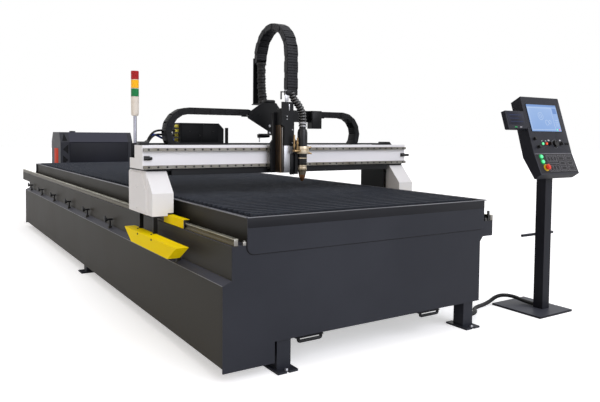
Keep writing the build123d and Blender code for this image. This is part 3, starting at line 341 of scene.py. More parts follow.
@dataclass(frozen=True)
class Moulded:
    """Plastic, rubber or glass, moulded, extruded or printed.

    The eye sees the fine grain that the tool left, slightly duller where it has been handled.
    """

    name: str
    colour: str
    dust: str
    roughness: float
    # Real mould grain is about 0.2 mm; drawn coarser so that it shows at this size
    grain_mm: float = 1.6
    grain_strength: float = 0.2
    film_mm: float = 60.0
    ior: float = 1.49
    glow: float = 0.0
    gleam: float = 0.35

    def build(self) -> Material:
        """Make the material.

        Returns:
            The new material.
        """
        material, tree, shader, place = start_material(self.name)
        grain = add_node(tree, "ShaderNodeTexNoise", {"Scale": per_metre(self.grain_mm), "Detail": 2.0},
                         {"Vector": place})
        film = add_node(tree, "ShaderNodeTexNoise", {"Scale": per_metre(self.film_mm), "Detail": 5.0},
                        {"Vector": place})
        share = add_node(tree, "ShaderNodeMapRange", {"From Min": 0.45, "From Max": 0.75}, {"Value": (film, "Fac")})
        tint = add_node(tree, "ShaderNodeMix", {6: linear(self.colour), 7: linear(self.dust)},
                        {0: (share, "Result")}, data_type="RGBA")
        gloss = add_node(tree, "ShaderNodeMapRange",
                         {"To Min": self.roughness - 0.04, "To Max": self.roughness + 0.1},
                         {"Value": (film, "Fac")})
        bump = add_node(tree, "ShaderNodeBump", {"Strength": self.grain_strength, "Distance": 0.1 * MM},
                        {"Height": (grain, "Fac")})
        set_sockets(tree, shader, {"IOR": self.ior, "Specular IOR Level": self.gleam,
                                   "Emission Color": linear(self.colour), "Emission Strength": self.glow},
                    {"Base Color": (tint, 2), "Roughness": (gloss, "Result"), "Normal": (bump, "Normal")})
        return material


@dataclass(frozen=True)
class Woven:
    """Braided polyester sleeve over a bundle of leads.

    The eye sees a dull crossing weave with a soft sheen on the crowns of the folds.
    """

    name: str
    colour: str
    crown: str
    # Real yarn is about 2 mm wide; drawn coarser so that the weave shows at this size
    yarn_mm: float = 6.0
    slant: float = 0.8
    # Half waves in one metre of a wave texture at a scale of 1
    half_waves: float = 6.3

    def build(self) -> Material:
        """Make the material.

        Returns:
            The new material.
        """
        material, tree, shader, place = start_material(self.name)
        waves = []
        for turn in (self.slant, -self.slant):
            turned = add_node(tree, "ShaderNodeMapping", {"Rotation": (0.0, turn, turn)}, {"Vector": place})
            scale = per_metre(self.yarn_mm) / self.half_waves
            waves.append(add_node(tree, "ShaderNodeTexWave", {"Scale": scale, "Distortion": 0.6},
                                  {"Vector": (turned, "Vector")}))
        weave = add_node(tree, "ShaderNodeMath", {}, {0: (waves[0], "Fac"), 1: (waves[1], "Fac")},
                         operation="MULTIPLY")
        tint = add_node(tree, "ShaderNodeMix", {6: linear(self.colour), 7: linear(self.crown)},
                        {0: (weave, "Value")}, data_type="RGBA")
        bump = add_node(tree, "ShaderNodeBump", {"Strength": 0.5, "Distance": 0.5 * MM},
                        {"Height": (weave, "Value")})
        set_sockets(tree, shader, {"Roughness": 0.4, "Specular IOR Level": 0.25, "Sheen Weight": 0.04},
                    {"Base Color": (tint, 2), "Normal": (bump, "Normal")})
        return material


@dataclass(frozen=True)
class LitDisplay:
    """Backlit panel behind glass.

    The eye sees an even pale glow that is a little stronger towards the lower edge.
    """

    name: str
    colour: str
    edge: str
    strength: float
    unlit: str = "#19191d"
    fade_mm: float = 260.0

    def build(self) -> Material:
        """Make the material.

        Returns:
            The new material.
        """
        material, tree, shader, place = start_material(self.name)
        split = add_node(tree, "ShaderNodeSeparateXYZ", {}, {"Vector": (place[0], "Generated")})
        soft = add_node(tree, "ShaderNodeTexNoise", {"Scale": per_metre(self.fade_mm)}, {"Vector": place})
        blend = add_node(tree, "ShaderNodeMath", {}, {0: (split, "Z"), 1: (soft, "Fac")}, operation="MULTIPLY")
        tint = add_node(tree, "ShaderNodeMix", {6: linear(self.colour), 7: linear(self.edge)},
                        {0: (blend, "Value")}, data_type="RGBA")
        set_sockets(tree, shader, {"Base Color": linear(self.unlit), "Emission Strength": self.strength,
                                   "Roughness": 0.3, "Specular IOR Level": 0.12},
                    {"Emission Color": (tint, 2)})
        return material


# Blue-grey satin sheet, even from edge to edge, that turns a shade paler where hands and dust have been.
CHARCOAL = PowderCoat("charcoal_polyester_powder_coat_baked", "#272930", "#2c2e35", 0.42)
# The same coat, warmer and a shade paler: painted warm light on the sides that face the room, and painted light from
# above on the faces that look up.
CHARCOAL_WARM_LIT = PowderCoat("charcoal_powder_coat_painted_warm_light", "#27251e", "#2f2c25", 0.5, top="#3d3e47")
# The coat darkened by painted shadow under the folded rim.
CHARCOAL_RIM_SHADOW = PowderCoat("charcoal_powder_coat_painted_rim_shadow", "#17181d", "#1b1c21", 0.45, gleam=0.2)
# Pale line on the rounded edges of the rim and the skirt's fold: painted highlight.
CHARCOAL_EDGE_HIGHLIGHT = PowderCoat("charcoal_powder_coat_painted_edge_highlight", "#85868a", "#6d6e72", 0.35)
# Dark scaled plate with a brown heat tint and a crust of slag beads, drawn coarser than the real beads, and a paler top
# edge of ash and painted highlight.
SLAG_STEEL = ScaledSteel("mild_steel_slag_burnt", "#444852", "#20232a", "#433f39", "#1a1c22", "#7b828e")
# Thin black enamel, a little glossy, that lies flat on the plate.
GATE_PAINT = PowderCoat("black_enamel_on_plate_sprayed", "#131416", "#1b1c1f", 0.4)
# Bright lines along the running top, and painted shade in dark brown on the sides that no wheel touches.
RAIL_STEEL = WorkedMetal("carbon_steel_rail_ground", "#c2c1b4", "#a09c8c", 0.34, Lay.ALONG_Y, side="#4f4836",
                         rubbed_from=723.0)
# Bright ground faces with lines along the beam and brownish smears of grease.
GUIDE_STEEL = WorkedMetal("bearing_steel_guide_ground", "#8f8d87", "#767064", 0.3, Lay.ALONG_X)
# Nearly black oiled steel that shows only a soft grey highlight.
BLACK_OXIDE = PowderCoat("steel_black_oxide_oiled", "#0b0b0c", "#131315", 0.45, peel_mm=2.0)
# Clean white satin that stays white in shade and takes a soft highlight on its folds.
WHITE_COAT = PowderCoat("white_polyester_powder_coat_baked", "#edecec", "#e8e6e5", 0.34, peel_mm=3.0,
                        peel_strength=0.06, gleam=0.5)
# The same white on the long beam, a touch brighter than the covers: painted light.
WHITE_BEAM_LIT = PowderCoat("white_powder_coat_painted_light", "#f6f5f8", "#f2f1f4", 0.34, peel_mm=3.0, peel_strength=0.06,
                        gleam=0.5)
# Very dark grey satin that lets the white covers stand out.
DARK_COAT = PowderCoat("dark_grey_powder_coat_baked", "#17181b", "#1e1f22", 0.45)
# Plain satin black with a weak, wide highlight.
BLACK_COAT = PowderCoat("black_satin_paint_sprayed", "#0d0e10", "#141517", 0.42)
# Strong even yellow with a soft gloss, the one bright colour on the table.
YELLOW_COAT = PowderCoat("signal_yellow_powder_coat_baked", "#ffe200", "#ffdc00", 0.5, peel_strength=0.08,
                         gleam=0.04)
# Dull black plastic with a greyish bloom from the glass in it.
CHAIN_NYLON = Moulded("glass_filled_nylon_moulded", "#0b0c0e", "#131417", 0.46, gleam=0.18)
# The same plastic high in the open, a shade paler: painted light on the arch.
NYLON_LIT = Moulded("glass_filled_nylon_painted_light", "#1a1b1f", "#25262a", 0.46, gleam=0.24)
# Black with a sandy texture that breaks up every highlight.
BOX_COAT = PowderCoat("black_textured_powder_coat_baked", "#050608", "#0a0b0e", 0.52, peel_mm=2.5, peel_strength=0.3,
                      gleam=0.12)
# Deep black with a fine metal grain and a tight, weak highlight.
CARRIAGE_BLACK = PowderCoat("aluminium_plate_black_anodised", "#0b0c0e", "#121316", 0.38, peel_mm=1.5)
# Grey ground steel with short lines across the block.
BLOCK_STEEL = WorkedMetal("bearing_block_steel_ground", "#9b9994", "#7f7b73", 0.32, Lay.ALONG_X)
# Brown metal with long extrusion lines that brighten on the edges.
BRONZE_ANODISED = WorkedMetal("aluminium_bronze_anodised_extruded", "#75604a", "#54453a", 0.4, Lay.ALONG_Z)
# Pale silver with upright cutter lines.
MILLED_ALUMINIUM = WorkedMetal("aluminium_plate_milled", "#b0b1b5", "#97989c", 0.36, Lay.ALONG_Z)
# Glossy black shell with a clear, narrow highlight down its side.
TORCH_SHELL = Moulded("phenolic_shell_moulded", "#0c0d10", "#15161a", 0.26)
# Warm gold-brown with sharp turned highlights and darker handled patches.
BRASS = WorkedMetal("brass_turned", "#a98d66", "#7d6a4a", 0.3, film_mm=30.0)
# Greenish yellow brass, brighter than the fittings on the torch.
GLAND_BRASS = WorkedMetal("brass_gland_drawn", "#d8cc55", "#b3a545", 0.34, film_mm=30.0)
# Warm silver that mirrors its surroundings in narrow bands.
NICKEL = WorkedMetal("nickel_plated_brass_turned", "#d8cbb6", "#a8946f", 0.32, film_mm=40.0)
# Dark orange metal, browned by heat at the tip.
COPPER = WorkedMetal("copper_turned", "#b5825c", "#6b4a32", 0.42, film_mm=25.0)
# Black ribs, each with its own wet-looking highlight.
HOSE_RUBBER = Moulded("nitrile_rubber_moulded_ribs", "#0b0b0c", "#141516", 0.2, ior=1.52, gleam=0.9)
# Dull black braid with a painted grey sheen on the crowns along the folds.
SLEEVE = Woven("polyester_sleeve_braided", "#0a0a0c", "#1c1d20")
# Warm off-white plastic with a soft gloss.
CREAM_ABS = Moulded("abs_cream_moulded", "#e6ddd0", "#dcd2c4", 0.34, ior=1.53)
# Bluish silver tube with one long upright highlight.
POLE_ALUMINIUM = WorkedMetal("aluminium_tube_drawn", "#b9bac6", "#9a9ba8", 0.35, Lay.ALONG_Z)
# Deep red plastic with a little painted glow of its own.
RED_LENS = Moulded("acrylic_lens_red_moulded", "#a80c0c", "#8c0808", 0.18, glow=0.12)
# Clear warm yellow with a painted glow, so it looks lit even when it is off.
AMBER_LENS = Moulded("acrylic_lens_amber_moulded", "#f7b50c", "#efaa05", 0.18, glow=0.15)
# Dark green plastic with a little painted glow and a narrow bright edge.
GREEN_LENS = Moulded("acrylic_lens_green_moulded", "#0b7c42", "#086a38", 0.18, glow=0.1)
# Bluish near-black satin on the folded head and its post, with painted light from above on faces that look up.
CONSOLE_COAT = PowderCoat("anthracite_powder_coat_baked", "#1c1d24", "#22232a", 0.44, gleam=0.18, top="#40424a")
# Matt dark film, flatter than the coat round it.
PANEL_FILM = Moulded("polyester_overlay_matt_printed", "#242326", "#2a292c", 0.5, gleam=0.2)
# Thin pale printed lines that stay sharp.
PANEL_LINE = Moulded("polyester_overlay_pale_ink", "#a09fa4", "#8d8c92", 0.5, gleam=0.2)
# Black glass border, smooth and mirror-like at a shallow angle.
SCREEN_GLASS = Moulded("tempered_glass_black_border", "#0d0e12", "#14151a", 0.08, grain_strength=0.0, ior=1.52)
# Even pale blue glow of the running page.
SCREEN_PAGE = LitDisplay("backlit_panel_pale_blue", "#8fb2e8", "#b4cff4", 0.9)
# Near-white drawing lines on the page.
SCREEN_LINE = LitDisplay("backlit_panel_drawn_line", "#d9e8fb", "#c7dcf7", 0.95)
# Deeper blue bars across the page.
SCREEN_BAR = LitDisplay("backlit_panel_title_bar", "#6f93cf", "#86a8dc", 0.95)
# Almost black navy glass with a faint glow.
SIDE_GLASS = LitDisplay("height_display_dark_glass", "#0d1226", "#161d3a", 0.6)
# Dim blue rows, only just brighter than their glass.
SIDE_ROW = LitDisplay("height_display_dim_row", "#2c3a66", "#36487c", 0.7)
# Green cap lit from behind, brighter than anything near it.
GREEN_GLOW = Moulded("polycarbonate_green_backlit", "#55dc90", "#8ff0b8", 0.2, glow=0.75)
# Darker green ring that takes its light from the cap inside it.
GREEN_COLLAR = Moulded("polycarbonate_green_collar_moulded", "#0f8a48", "#0c7a3f", 0.25, glow=0.3)
# Red-orange cap lit from behind.
RED_GLOW = Moulded("polycarbonate_red_backlit", "#e2502c", "#d64222", 0.2, glow=0.5)
# Plain bright red with a soft moulded gloss.
STOP_RED = Moulded("nylon_red_moulded", "#e4422a", "#d03520", 0.3)
# Plain warm yellow collar under the red head.
STOP_YELLOW = Moulded("nylon_yellow_moulded", "#e7bf1b", "#dab315", 0.35)
# Black plastic with a fine grain and a small highlight.
KNOB_BLACK = Moulded("nylon_black_moulded", "#0c0c0e", "#161619", 0.35)
# Pale grey plastic that reads as white marks on the black.
PALE_PLASTIC = Moulded("nylon_pale_grey_moulded", "#c9cacd", "#b9babd", 0.4)
# Black rings, each with a thin grey highlight.
CONDUIT = Moulded("polyamide_conduit_corrugated", "#0f1011", "#1b1c1e", 0.4)
# Smooth black lead with one long highlight.
LEAD_BLACK = Moulded("pvc_lead_black_extruded", "#0c0c0d", "#131415", 0.4, gleam=0.15)
# Smooth royal blue lead, the same gloss as the black ones.
LEAD_BLUE = Moulded("pvc_lead_blue_extruded", "#233b85", "#2b4593", 0.36)
# Bluish black satin sheet, darker than the table, with painted light from above on faces that look up.
CABINET_COAT = PowderCoat("slate_powder_coat_baked", "#12131a", "#181922", 0.42, gleam=0.15, top="#3b3c46")
# Dark moulded plastic with a fine even grain.
CAP_PLASTIC = Moulded("abs_charcoal_moulded", "#26272d", "#2d2e34", 0.42, gleam=0.25)
# Flat orange side panel with a low sheen.
ACCENT_ORANGE = PowderCoat("orange_enamel_panel_sprayed", "#d83c18", "#c93614", 0.5, gleam=0.05)
# Bright bluish silver on small bolts.
ZINC = WorkedMetal("steel_zinc_plated", "#c4c5c9", "#a4a5aa", 0.3, film_mm=50.0)

SLOT_FINISHES: dict[str, Finish] = {
    "charcoal_coat": CHARCOAL, "slag_steel": SLAG_STEEL, "gate_steel": GATE_PAINT, "rail_steel": RAIL_STEEL,
    "guide_steel": GUIDE_STEEL, "plunger_steel": BLACK_OXIDE, "white_coat": WHITE_COAT, "tie_coat": DARK_COAT,
    "truck_coat": BLACK_COAT, "yellow_coat": YELLOW_COAT, "chain_polymer": CHAIN_NYLON, "box_coat": BOX_COAT,
    "carriage_coat": CARRIAGE_BLACK, "block_steel": BLOCK_STEEL, "bronze_anodised": BRONZE_ANODISED,
    "slide_aluminium": MILLED_ALUMINIUM, "torch_shell": TORCH_SHELL, "nozzle_brass": BRASS,
    "hose_rubber": HOSE_RUBBER, "sleeve_fabric": SLEEVE, "beacon_base": CREAM_ABS, "beacon_lens": AMBER_LENS,
    "stand_coat": CONSOLE_COAT, "screen_glass": SCREEN_GLASS, "lit_green": GREEN_GLOW, "stop_red": STOP_RED,
    "knob_plastic": KNOB_BLACK, "conduit_polymer": CONDUIT, "cabinet_coat": CABINET_COAT, "cap_coat": CAP_PLASTIC,
}
# The left-side table nodes take the coat with painted warm light; the beam takes the white with painted light
NODE_FINISHES: dict[str, Finish] = {
    "extraction_duct": CHARCOAL_WARM_LIT, "rail_beams": CHARCOAL_WARM_LIT, "tray_walls": CHARCOAL_WARM_LIT,
    "gantry_beam": WHITE_BEAM_LIT,
}
MADE: dict[str, Material] = {}


def material_of(finish: Finish) -> Material:
    """Give a finish's material, made once.

    Args:
        finish: The finish to look up.

    Returns:
        Its Blender material.
    """
    if finish.name not in MADE:
        MADE[finish.name] = finish.build()
    return MADE[finish.name]


class Shape:
    """One mesh piece, put together from simple solids in mm."""

    def __init__(self, name: str, place: Matrix = DATUM) -> None:
        """Start an empty piece.

        Args:
            name: Name of the piece.
            place: Matrix from the mm that the piece is written in to the row frame.
        """
        self.name = name
        self.place = place
        self.mesh = bmesh.new()

    def seat(self, verts: Iterable[BMVert]) -> "Shape":
        """Carry new points from mm to their place in the row frame."""
        bmesh.ops.transform(self.mesh, matrix=self.place, verts=list(verts))
        return self

    def box(self, low: Triple, high: Triple, bevel: float = 0.0) -> "Shape":
        """Add a block with rounded edges.

        Args:
            low: Lowest corner.
            high: Highest corner.
            bevel: Width of the rounding, 0 for none.

        Returns:
            The piece itself.
        """
        # Rounded in a mesh of its own, so that its faces come in the same order in every run
        solid = bmesh.new()
        bmesh.ops.create_cube(solid, size=1.0)
        bmesh.ops.scale(solid, vec=[b - a for a, b in zip(low, high)], verts=solid.verts[:])
        bmesh.ops.translate(solid, vec=[(a + b) / 2 for a, b in zip(low, high)], verts=solid.verts[:])
        if bevel:
            bmesh.ops.bevel(solid, geom=solid.edges[:], offset=bevel, segments=2, profile=0.5, affect="EDGES")
        solid.verts.index_update()
        verts = [self.mesh.verts.new(vert.co) for vert in solid.verts]
        for face in solid.faces:
            self.mesh.faces.new([verts[vert.index] for vert in face.verts])
        solid.free()
        return self.seat(verts)

    def blocks(self, rows: Iterable[Block]) -> "Shape":
        """Add several blocks, each with its own rounding.

        Args:
            rows: Low corner, high corner and rounding of each block.

        Returns:
            The piece itself.
        """
        for row in rows:
            self.box(*row)
        return self

    def ring(self, middle: Vector, across: Vector, up: Vector, radius: float, sides: int) -> list[BMVert]:
        """Add one ring of points, or a single point where the radius is 0.

        Args:
            middle: Middle of the ring.
            across: Direction of its first point.
            up: Direction a quarter turn on.
            radius: Radius of the ring.
            sides: Number of points.

        Returns:
            The new points in order.
        """
        if radius <= 0:
            return [self.mesh.verts.new(middle)]
        turns = [2 * math.pi * i / sides for i in range(sides)]
        return [self.mesh.verts.new(middle + across * (radius * math.cos(a)) + up * (radius * math.sin(a)))
                for a in turns]

    def skin(self, rings: Sequence[list[BMVert]]) -> "Shape":
        """Join rings into a surface and close its open ends.

        Args:
            rings: Rings in order; one of a single point makes a tip.

        Returns:
            The piece itself.
        """
        for low, high in zip(rings, rings[1:]):
            count = max(len(low), len(high))
            for i in range(count):
                j = (i + 1) % count
                corners = [low[i % len(low)], low[j % len(low)], high[j % len(high)], high[i % len(high)]]
                self.mesh.faces.new(list(dict.fromkeys(corners)))
        for end in (rings[0], rings[-1]):
            if len(end) > 2:
                self.mesh.faces.new(end)
        return self.seat([vert for ring in rings for vert in ring])

    def turned(self, foot: Triple, axis: Triple, profile: Sequence[Pair], sides: int = 28) -> "Shape":
        """Turn a profile about an axis.

        Args:
            foot: Point on the axis where heights are counted from.
            axis: Direction of the axis.
            profile: Radius and height of each step, from one end to the other.
            sides: Number of facets round the axis.

        Returns:
            The piece itself.
        """
        along = Vector(axis).normalized()
        across = along.orthogonal().normalized()
        up = along.cross(across)
        base = Vector(foot)
        return self.skin([self.ring(base + along * height, across, up, radius, sides) for radius, height in profile])

    def tube(self, points: Sequence[Vector], radii: Sequence[float], sides: int = 16,
             fold: Optional[Callable[[float, int], float]] = None) -> "Shape":
        """Sweep rings along a line of points.

        Args:
            points: Middle of each ring.
            radii: Radius of each ring.
            sides: Number of points in a ring.
            fold: Share of the radius by angle and ring, for folds that don't go all the way round.

        Returns:
            The piece itself.
        """
        up = Vector((0.0, 0.0, 1.0))
        rings = []
        for i, point in enumerate(points):
            along = (points[min(i + 1, len(points) - 1)] - points[max(i - 1, 0)]).normalized()
            across = along.cross(up)
            across = across.normalized() if across.length > 0.05 else along.orthogonal().normalized()
            up = across.cross(along)
            ring = self.ring(point, across, up, radii[i], sides)
            if fold:
                for j, vert in enumerate(ring):
                    vert.co = point + (vert.co - point) * fold(2 * math.pi * j / sides, i)
            rings.append(ring)
        return self.skin(rings)

    def loft(self, outlines: Sequence[Sequence[Triple]]) -> "Shape":
        """Join outlines with as many points each into a closed solid."""
        return self.skin([[self.mesh.verts.new(point) for point in outline] for outline in outlines])

    def plate(self, outline: Sequence[Triple], depth: Triple) -> "Shape":
        """Add a flat plate from an outline and the vector through its thickness."""
        return self.loft((outline, [Vector(point) + Vector(depth) for point in outline]))

    def done(self, finish: Finish, body: Optional[str] = None, slot: Optional[str] = None,
             smooth_deg: float = 32.0) -> Object:
        """Turn the piece into an object.

        Args:
            finish: Finish of the whole piece.
            body: Body that the piece rides on, or None where it rides on none.
            slot: Material slot of the record that the finish follows; not used.
            smooth_deg: Edges flatter than this are shaded smooth.

        Returns:
            The new object.
        """
        bmesh.ops.recalc_face_normals(self.mesh, faces=self.mesh.faces[:])
        data = bpy.data.meshes.new(self.name)
        self.mesh.to_mesh(data)
        self.mesh.free()
        data.shade_smooth()
        data.set_sharp_from_angle(angle=math.radians(smooth_deg))
        data.materials.append(material_of(finish))
        made = bpy.data.objects.new(self.name, data)
        bpy.context.scene.collection.objects.link(made)
        if body:
            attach(made, body)
        LOG.info("piece %s with %d faces", self.name, len(data.polygons))
        return made


def hex_bolt(shape: Shape, foot: Triple, axis: Triple, across_flats: float) -> Shape:
    """Add a washer and a six-sided bolt head to a piece.

    Args:
        shape: Piece that takes the bolt.
        foot: Middle of the washer's under side.
        axis: Direction from there to the top of the head.
        across_flats: Width of the head across its flats.

    Returns:
        The piece itself.
    """
    half = across_flats / 2 / math.cos(math.pi / 6)
    shape.turned(foot, axis, ((0, 0), (half * 1.25, 0), (half * 1.25, half * 0.2), (0, half * 0.2)), 20)
    head = ((0, half * 0.2), (half, half * 0.2), (half, half * 0.75), (half * 0.85, half * 0.9), (0, half * 0.9))
    return shape.turned(foot, axis, head, 6)


def socket_screw(shape: Shape, foot: Triple, axis: Triple, diameter: float) -> Shape:
    """Add a cap screw with a sunken key hole to a piece.

    Args:
        shape: Piece that takes the screw.
        foot: Point on the axis, halfway up the head.
        axis: Direction from there to the top of the head.
        diameter: Diameter of the head.

    Returns:
        The piece itself.
    """
    half, high = diameter / 2, diameter * 0.45
    profile = ((0, -high), (half, -high), (half, high * 0.8), (half * 0.86, high), (half * 0.5, high),
               (half * 0.45, high * 0.4), (0, high * 0.4))
    return shape.turned(foot, axis, profile, 16)


def round_places(middle: Pair, radius: float, count: int) -> list[Pair]:
    """Give places at even steps round a circle.

    Args:
        middle: Middle of the circle.
        radius: Its radius.
        count: Number of places.

    Returns:
        The places in order.
    """
    turns = [2 * math.pi * i / count for i in range(count)]
    return [(middle[0] + radius * math.cos(a), middle[1] + radius * math.sin(a)) for a in turns]


def spline_points(route: Sequence[Triple]) -> list[Vector]:
    """Read points along the smooth line that a route controls.

    Args:
        route: Control points in mm from the datum.

    Returns:
        Points along the NURBS line, in the row frame.
    """
    curve = bpy.data.curves.new("route", "CURVE")
    curve.dimensions = "3D"
    spline = curve.splines.new("NURBS")
    spline.points.add(len(route) - 1)
    for point, place in zip(spline.points, route):
        point.co = (*at(*place), 1.0)
    spline.order_u = 3
    spline.use_endpoint_u = True
    spline.resolution_u = 24
    holder = bpy.data.objects.new("route", curve)
    line = bpy.data.meshes.new_from_object(holder)
    points = [vert.co.copy() for vert in line.vertices]
    bpy.data.objects.remove(holder)
    bpy.data.curves.remove(curve)
    bpy.data.meshes.remove(line)
    return points


def even_steps(points: Sequence[Vector], step: float) -> tuple[list[Vector], float]:
    """Walk a line of points in even steps.

    Args:
        points: The line.
        step: Length of one step, in the line's own unit.

    Returns:
        The stepped points and the line's length.
    """
    lengths = [0.0]
    for before, after in zip(points, points[1:]):
        lengths.append(lengths[-1] + (after - before).length)
    count = max(2, round(lengths[-1] / step))
    stepped = []
    reach = 0
    for i in range(count + 1):
        goal = lengths[-1] * i / count
        while reach < len(points) - 2 and lengths[reach + 1] < goal:
            reach += 1
        span = lengths[reach + 1] - lengths[reach]
        stepped.append(points[reach].lerp(points[reach + 1], (goal - lengths[reach]) / span if span else 0.0))
    return stepped, lengths[-1]


def soften(names: Iterable[str], width: float) -> None:
    """Round the edges of CAD nodes with modifiers, so that they catch the light.

    Args:
        names: Nodes to soften.
        width: Width of the rounding in mm.
    """
    for name in names:
        node = frame["nodes"][name]
        weld = node.modifiers.new("joined_corners", "WELD")
        weld.merge_threshold = 0.01 * MM
        bevel = node.modifiers.new("broken_edges", "BEVEL")
        bevel.width = width * MM
        bevel.segments = 2
        bevel.limit_method = "ANGLE"
        bevel.angle_limit = math.radians(40)


@dataclass
class Studio:
    """Camera, lamps, floor and white surroundings."""

    eye: Triple = (-1292.0, -2701.0, 1250.0)
    yaw_deg: float = 32.73
    pitch_deg: float = 2.69
    roll_deg: float = -0.53
    focal_px: float = 609.97
    image_px: tuple[int, int] = (600, 402)
    centre_px: Pair = (300.0, 162.93)
    sensor_mm: float = 36.0
    floor_size: float = 90.0
    # Light of its own that the floor shows to the camera, and strength of the white surroundings as a lamp
    floor_lift: float = 0.48
    fill: float = 0.4

    def build(self) -> None:
        """Set up everything round the object."""
        bpy.context.scene.view_settings.view_transform = "Standard"
        self.add_camera()
        self.add_lamps()
        self.add_world()
        self.add_floor()

    def add_camera(self) -> None:
        """Put the camera where the photograph was taken."""
        yaw, pitch, roll = (math.radians(a) for a in (self.yaw_deg, self.pitch_deg, self.roll_deg))
        look = Vector((math.sin(yaw) * math.cos(pitch), math.cos(yaw) * math.cos(pitch), -math.sin(pitch)))
        right = Matrix.Rotation(roll, 4, look) @ look.cross(Vector(UP)).normalized()
        up = right.cross(look)
        data = bpy.data.cameras.new("camera")
        data.sensor_width = self.sensor_mm
        data.lens = self.focal_px / self.image_px[0] * self.sensor_mm
        data.shift_y = (self.centre_px[1] - self.image_px[1] / 2) / self.image_px[0]
        data.clip_end = 200.0
        camera = bpy.data.objects.new("camera", data)
        camera.matrix_world = Matrix.Translation(at(*self.eye)) @ Matrix((right, up, -look)).transposed().to_4x4()
        bpy.context.scene.collection.objects.link(camera)
        bpy.context.scene.camera = camera

    def add_lamps(self) -> None:
        """Hang broad soft lamps: a warm one on the left, a cool one in front and one above."""
        for name, colour, strength, spread, tilt in (
            ("warm_left", "#ffd09a", 0.24, 60.0, (0.0, math.radians(-62), math.radians(10))),
            ("cool_front", "#f4f5ff", 1.78, 50.0, (math.radians(58), 0.0, math.radians(12))),
            ("top", "#ffffff", 0.5, 70.0, (0.0, 0.0, 0.0)),
        ):
            data = bpy.data.lights.new(name, "SUN")
            data.color = linear(colour)[:3]
            data.energy = strength
            data.angle = math.radians(spread)
            lamp = bpy.data.objects.new(name, data)
            lamp.rotation_euler = tilt
            bpy.context.scene.collection.objects.link(lamp)

    def add_world(self) -> None:
        """Surround the object with white, at full strength only where it is seen or mirrored."""
        world = bpy.data.worlds.new("white_studio")
        world.use_nodes = True
        tree = world.node_tree
        ray = add_node(tree, "ShaderNodeLightPath")
        seen = add_node(tree, "ShaderNodeMath", {}, {0: (ray, "Is Camera Ray"), 1: (ray, "Is Glossy Ray")},
                        operation="MAXIMUM")
        clear = add_node(tree, "ShaderNodeMath", {}, {0: (seen, 0), 1: (ray, "Is Transmission Ray")},
                         operation="MAXIMUM")
        level = add_node(tree, "ShaderNodeMapRange", {"To Min": self.fill, "To Max": 1.0}, {"Value": (clear, 0)})
        set_sockets(tree, tree.nodes["Background"], {"Color": linear("#ffffff")}, {"Strength": (level, "Result")})
        bpy.context.scene.world = world

    def add_floor(self) -> None:
        """Lay a pale floor that takes the shadow."""
        data = bpy.data.meshes.new("floor")
        half = self.floor_size / 2
        data.from_pydata([(-half, -half, 0), (half, -half, 0), (half, half, 0), (-half, half, 0)], [], [(0, 1, 2, 3)])
        floor = bpy.data.objects.new("floor", data)
        bpy.context.scene.collection.objects.link(floor)
        material, tree, shader, _ = start_material("pale_studio_floor")
        set_sockets(tree, shader, {"Base Color": linear("#f7f7f7"), "Roughness": 0.9, "Specular IOR Level": 0.0}, {})
        ray = add_node(tree, "ShaderNodeLightPath")
        lift = add_node(tree, "ShaderNodeMath", {1: self.floor_lift}, {0: (ray, "Is Camera Ray")},
                        operation="MULTIPLY")
        glow = add_node(tree, "ShaderNodeEmission", {"Color": linear("#ffffff")}, {"Strength": (lift, 0)})
        both = add_node(tree, "ShaderNodeAddShader", {}, {0: (shader, "BSDF"), 1: (glow, "Emission")})
        set_sockets(tree, tree.nodes["Material Output"], {}, {"Surface": (both, 0)})
        data.materials.append(material)


# CAD nodes whose bare edges are broken, and the width of their rounding in mm
SOFT_NODES = ("end_plates", "end_aprons", "extraction_duct", "rail_beams", "end_covers", "gantry_beam", "cam_ramp",
              "rail_wipers", "console_head", "console_stand", "side_box", "control_box", "power_cabinet",
              "carriage_plate", "chain_arms", "lifter_motor", "torch_holder", "tie_beam")
SOFT_EDGE = 1.6


def dress_frame() -> None:
    """Give every CAD node the finish of its slot in the record."""
    for part in frame["record"]["subparts"]:
        data = frame["nodes"][part["node"]].data
        finish = NODE_FINISHES.get(part["node"], SLOT_FINISHES[part["material_slot"]])
        data.materials.clear()
        data.materials.append(material_of(finish))
    soften(SOFT_NODES, SOFT_EDGE)


# Share of the groove's depth at each step along one rib
RIB_STEPS = (0.0, 0.55, 0.95, 1.0, 0.95, 0.55)


def ribbed_line(route: Sequence[Triple], radius: float, pitch: float,
                depth: float) -> tuple[list[Vector], list[float], float]:
    """Work out the rings of a corrugated hose.

    Args:
        route: Control points of its line in mm.
        radius: Radius over the ribs in mm.
        pitch: Distance between ribs in mm.
        depth: Depth of the grooves in mm.

    Returns:
        Ring middles and radii in metres, and the length of the line in metres.
    """
    count = len(RIB_STEPS)
    steps, length = even_steps(spline_points(route), pitch / count * MM)
    return steps, [(radius - depth + depth * RIB_STEPS[i % count]) * MM for i in range(len(steps))], length


@dataclass
class ConsoleConduit:
    """Corrugated conduit along the floor from the front leg to the console post."""

    diameter: float = 28.0
    rib_pitch: float = 9.0
    rib_depth: float = 2.2
    route: tuple[Triple, ...] = (
        (1810.4, 72, 54), (1922, 72, 54), (2100, 262, 15), (2290, 292, 15), (2395, 290, 64), (2480, 225, 64),
        (2531, 150, 29), (2532, 61.4, 29))

    def build(self) -> None:
        steps, radii, length = ribbed_line(self.route, self.diameter / 2, self.rib_pitch, self.rib_depth)
        tube = Shape("console_conduit_ribbed", Matrix.Identity(4)).tube(steps, radii, 16)
        made = tube.done(CONDUIT, "table", "conduit_polymer", 60.0)
        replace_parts(made, "console_conduit")


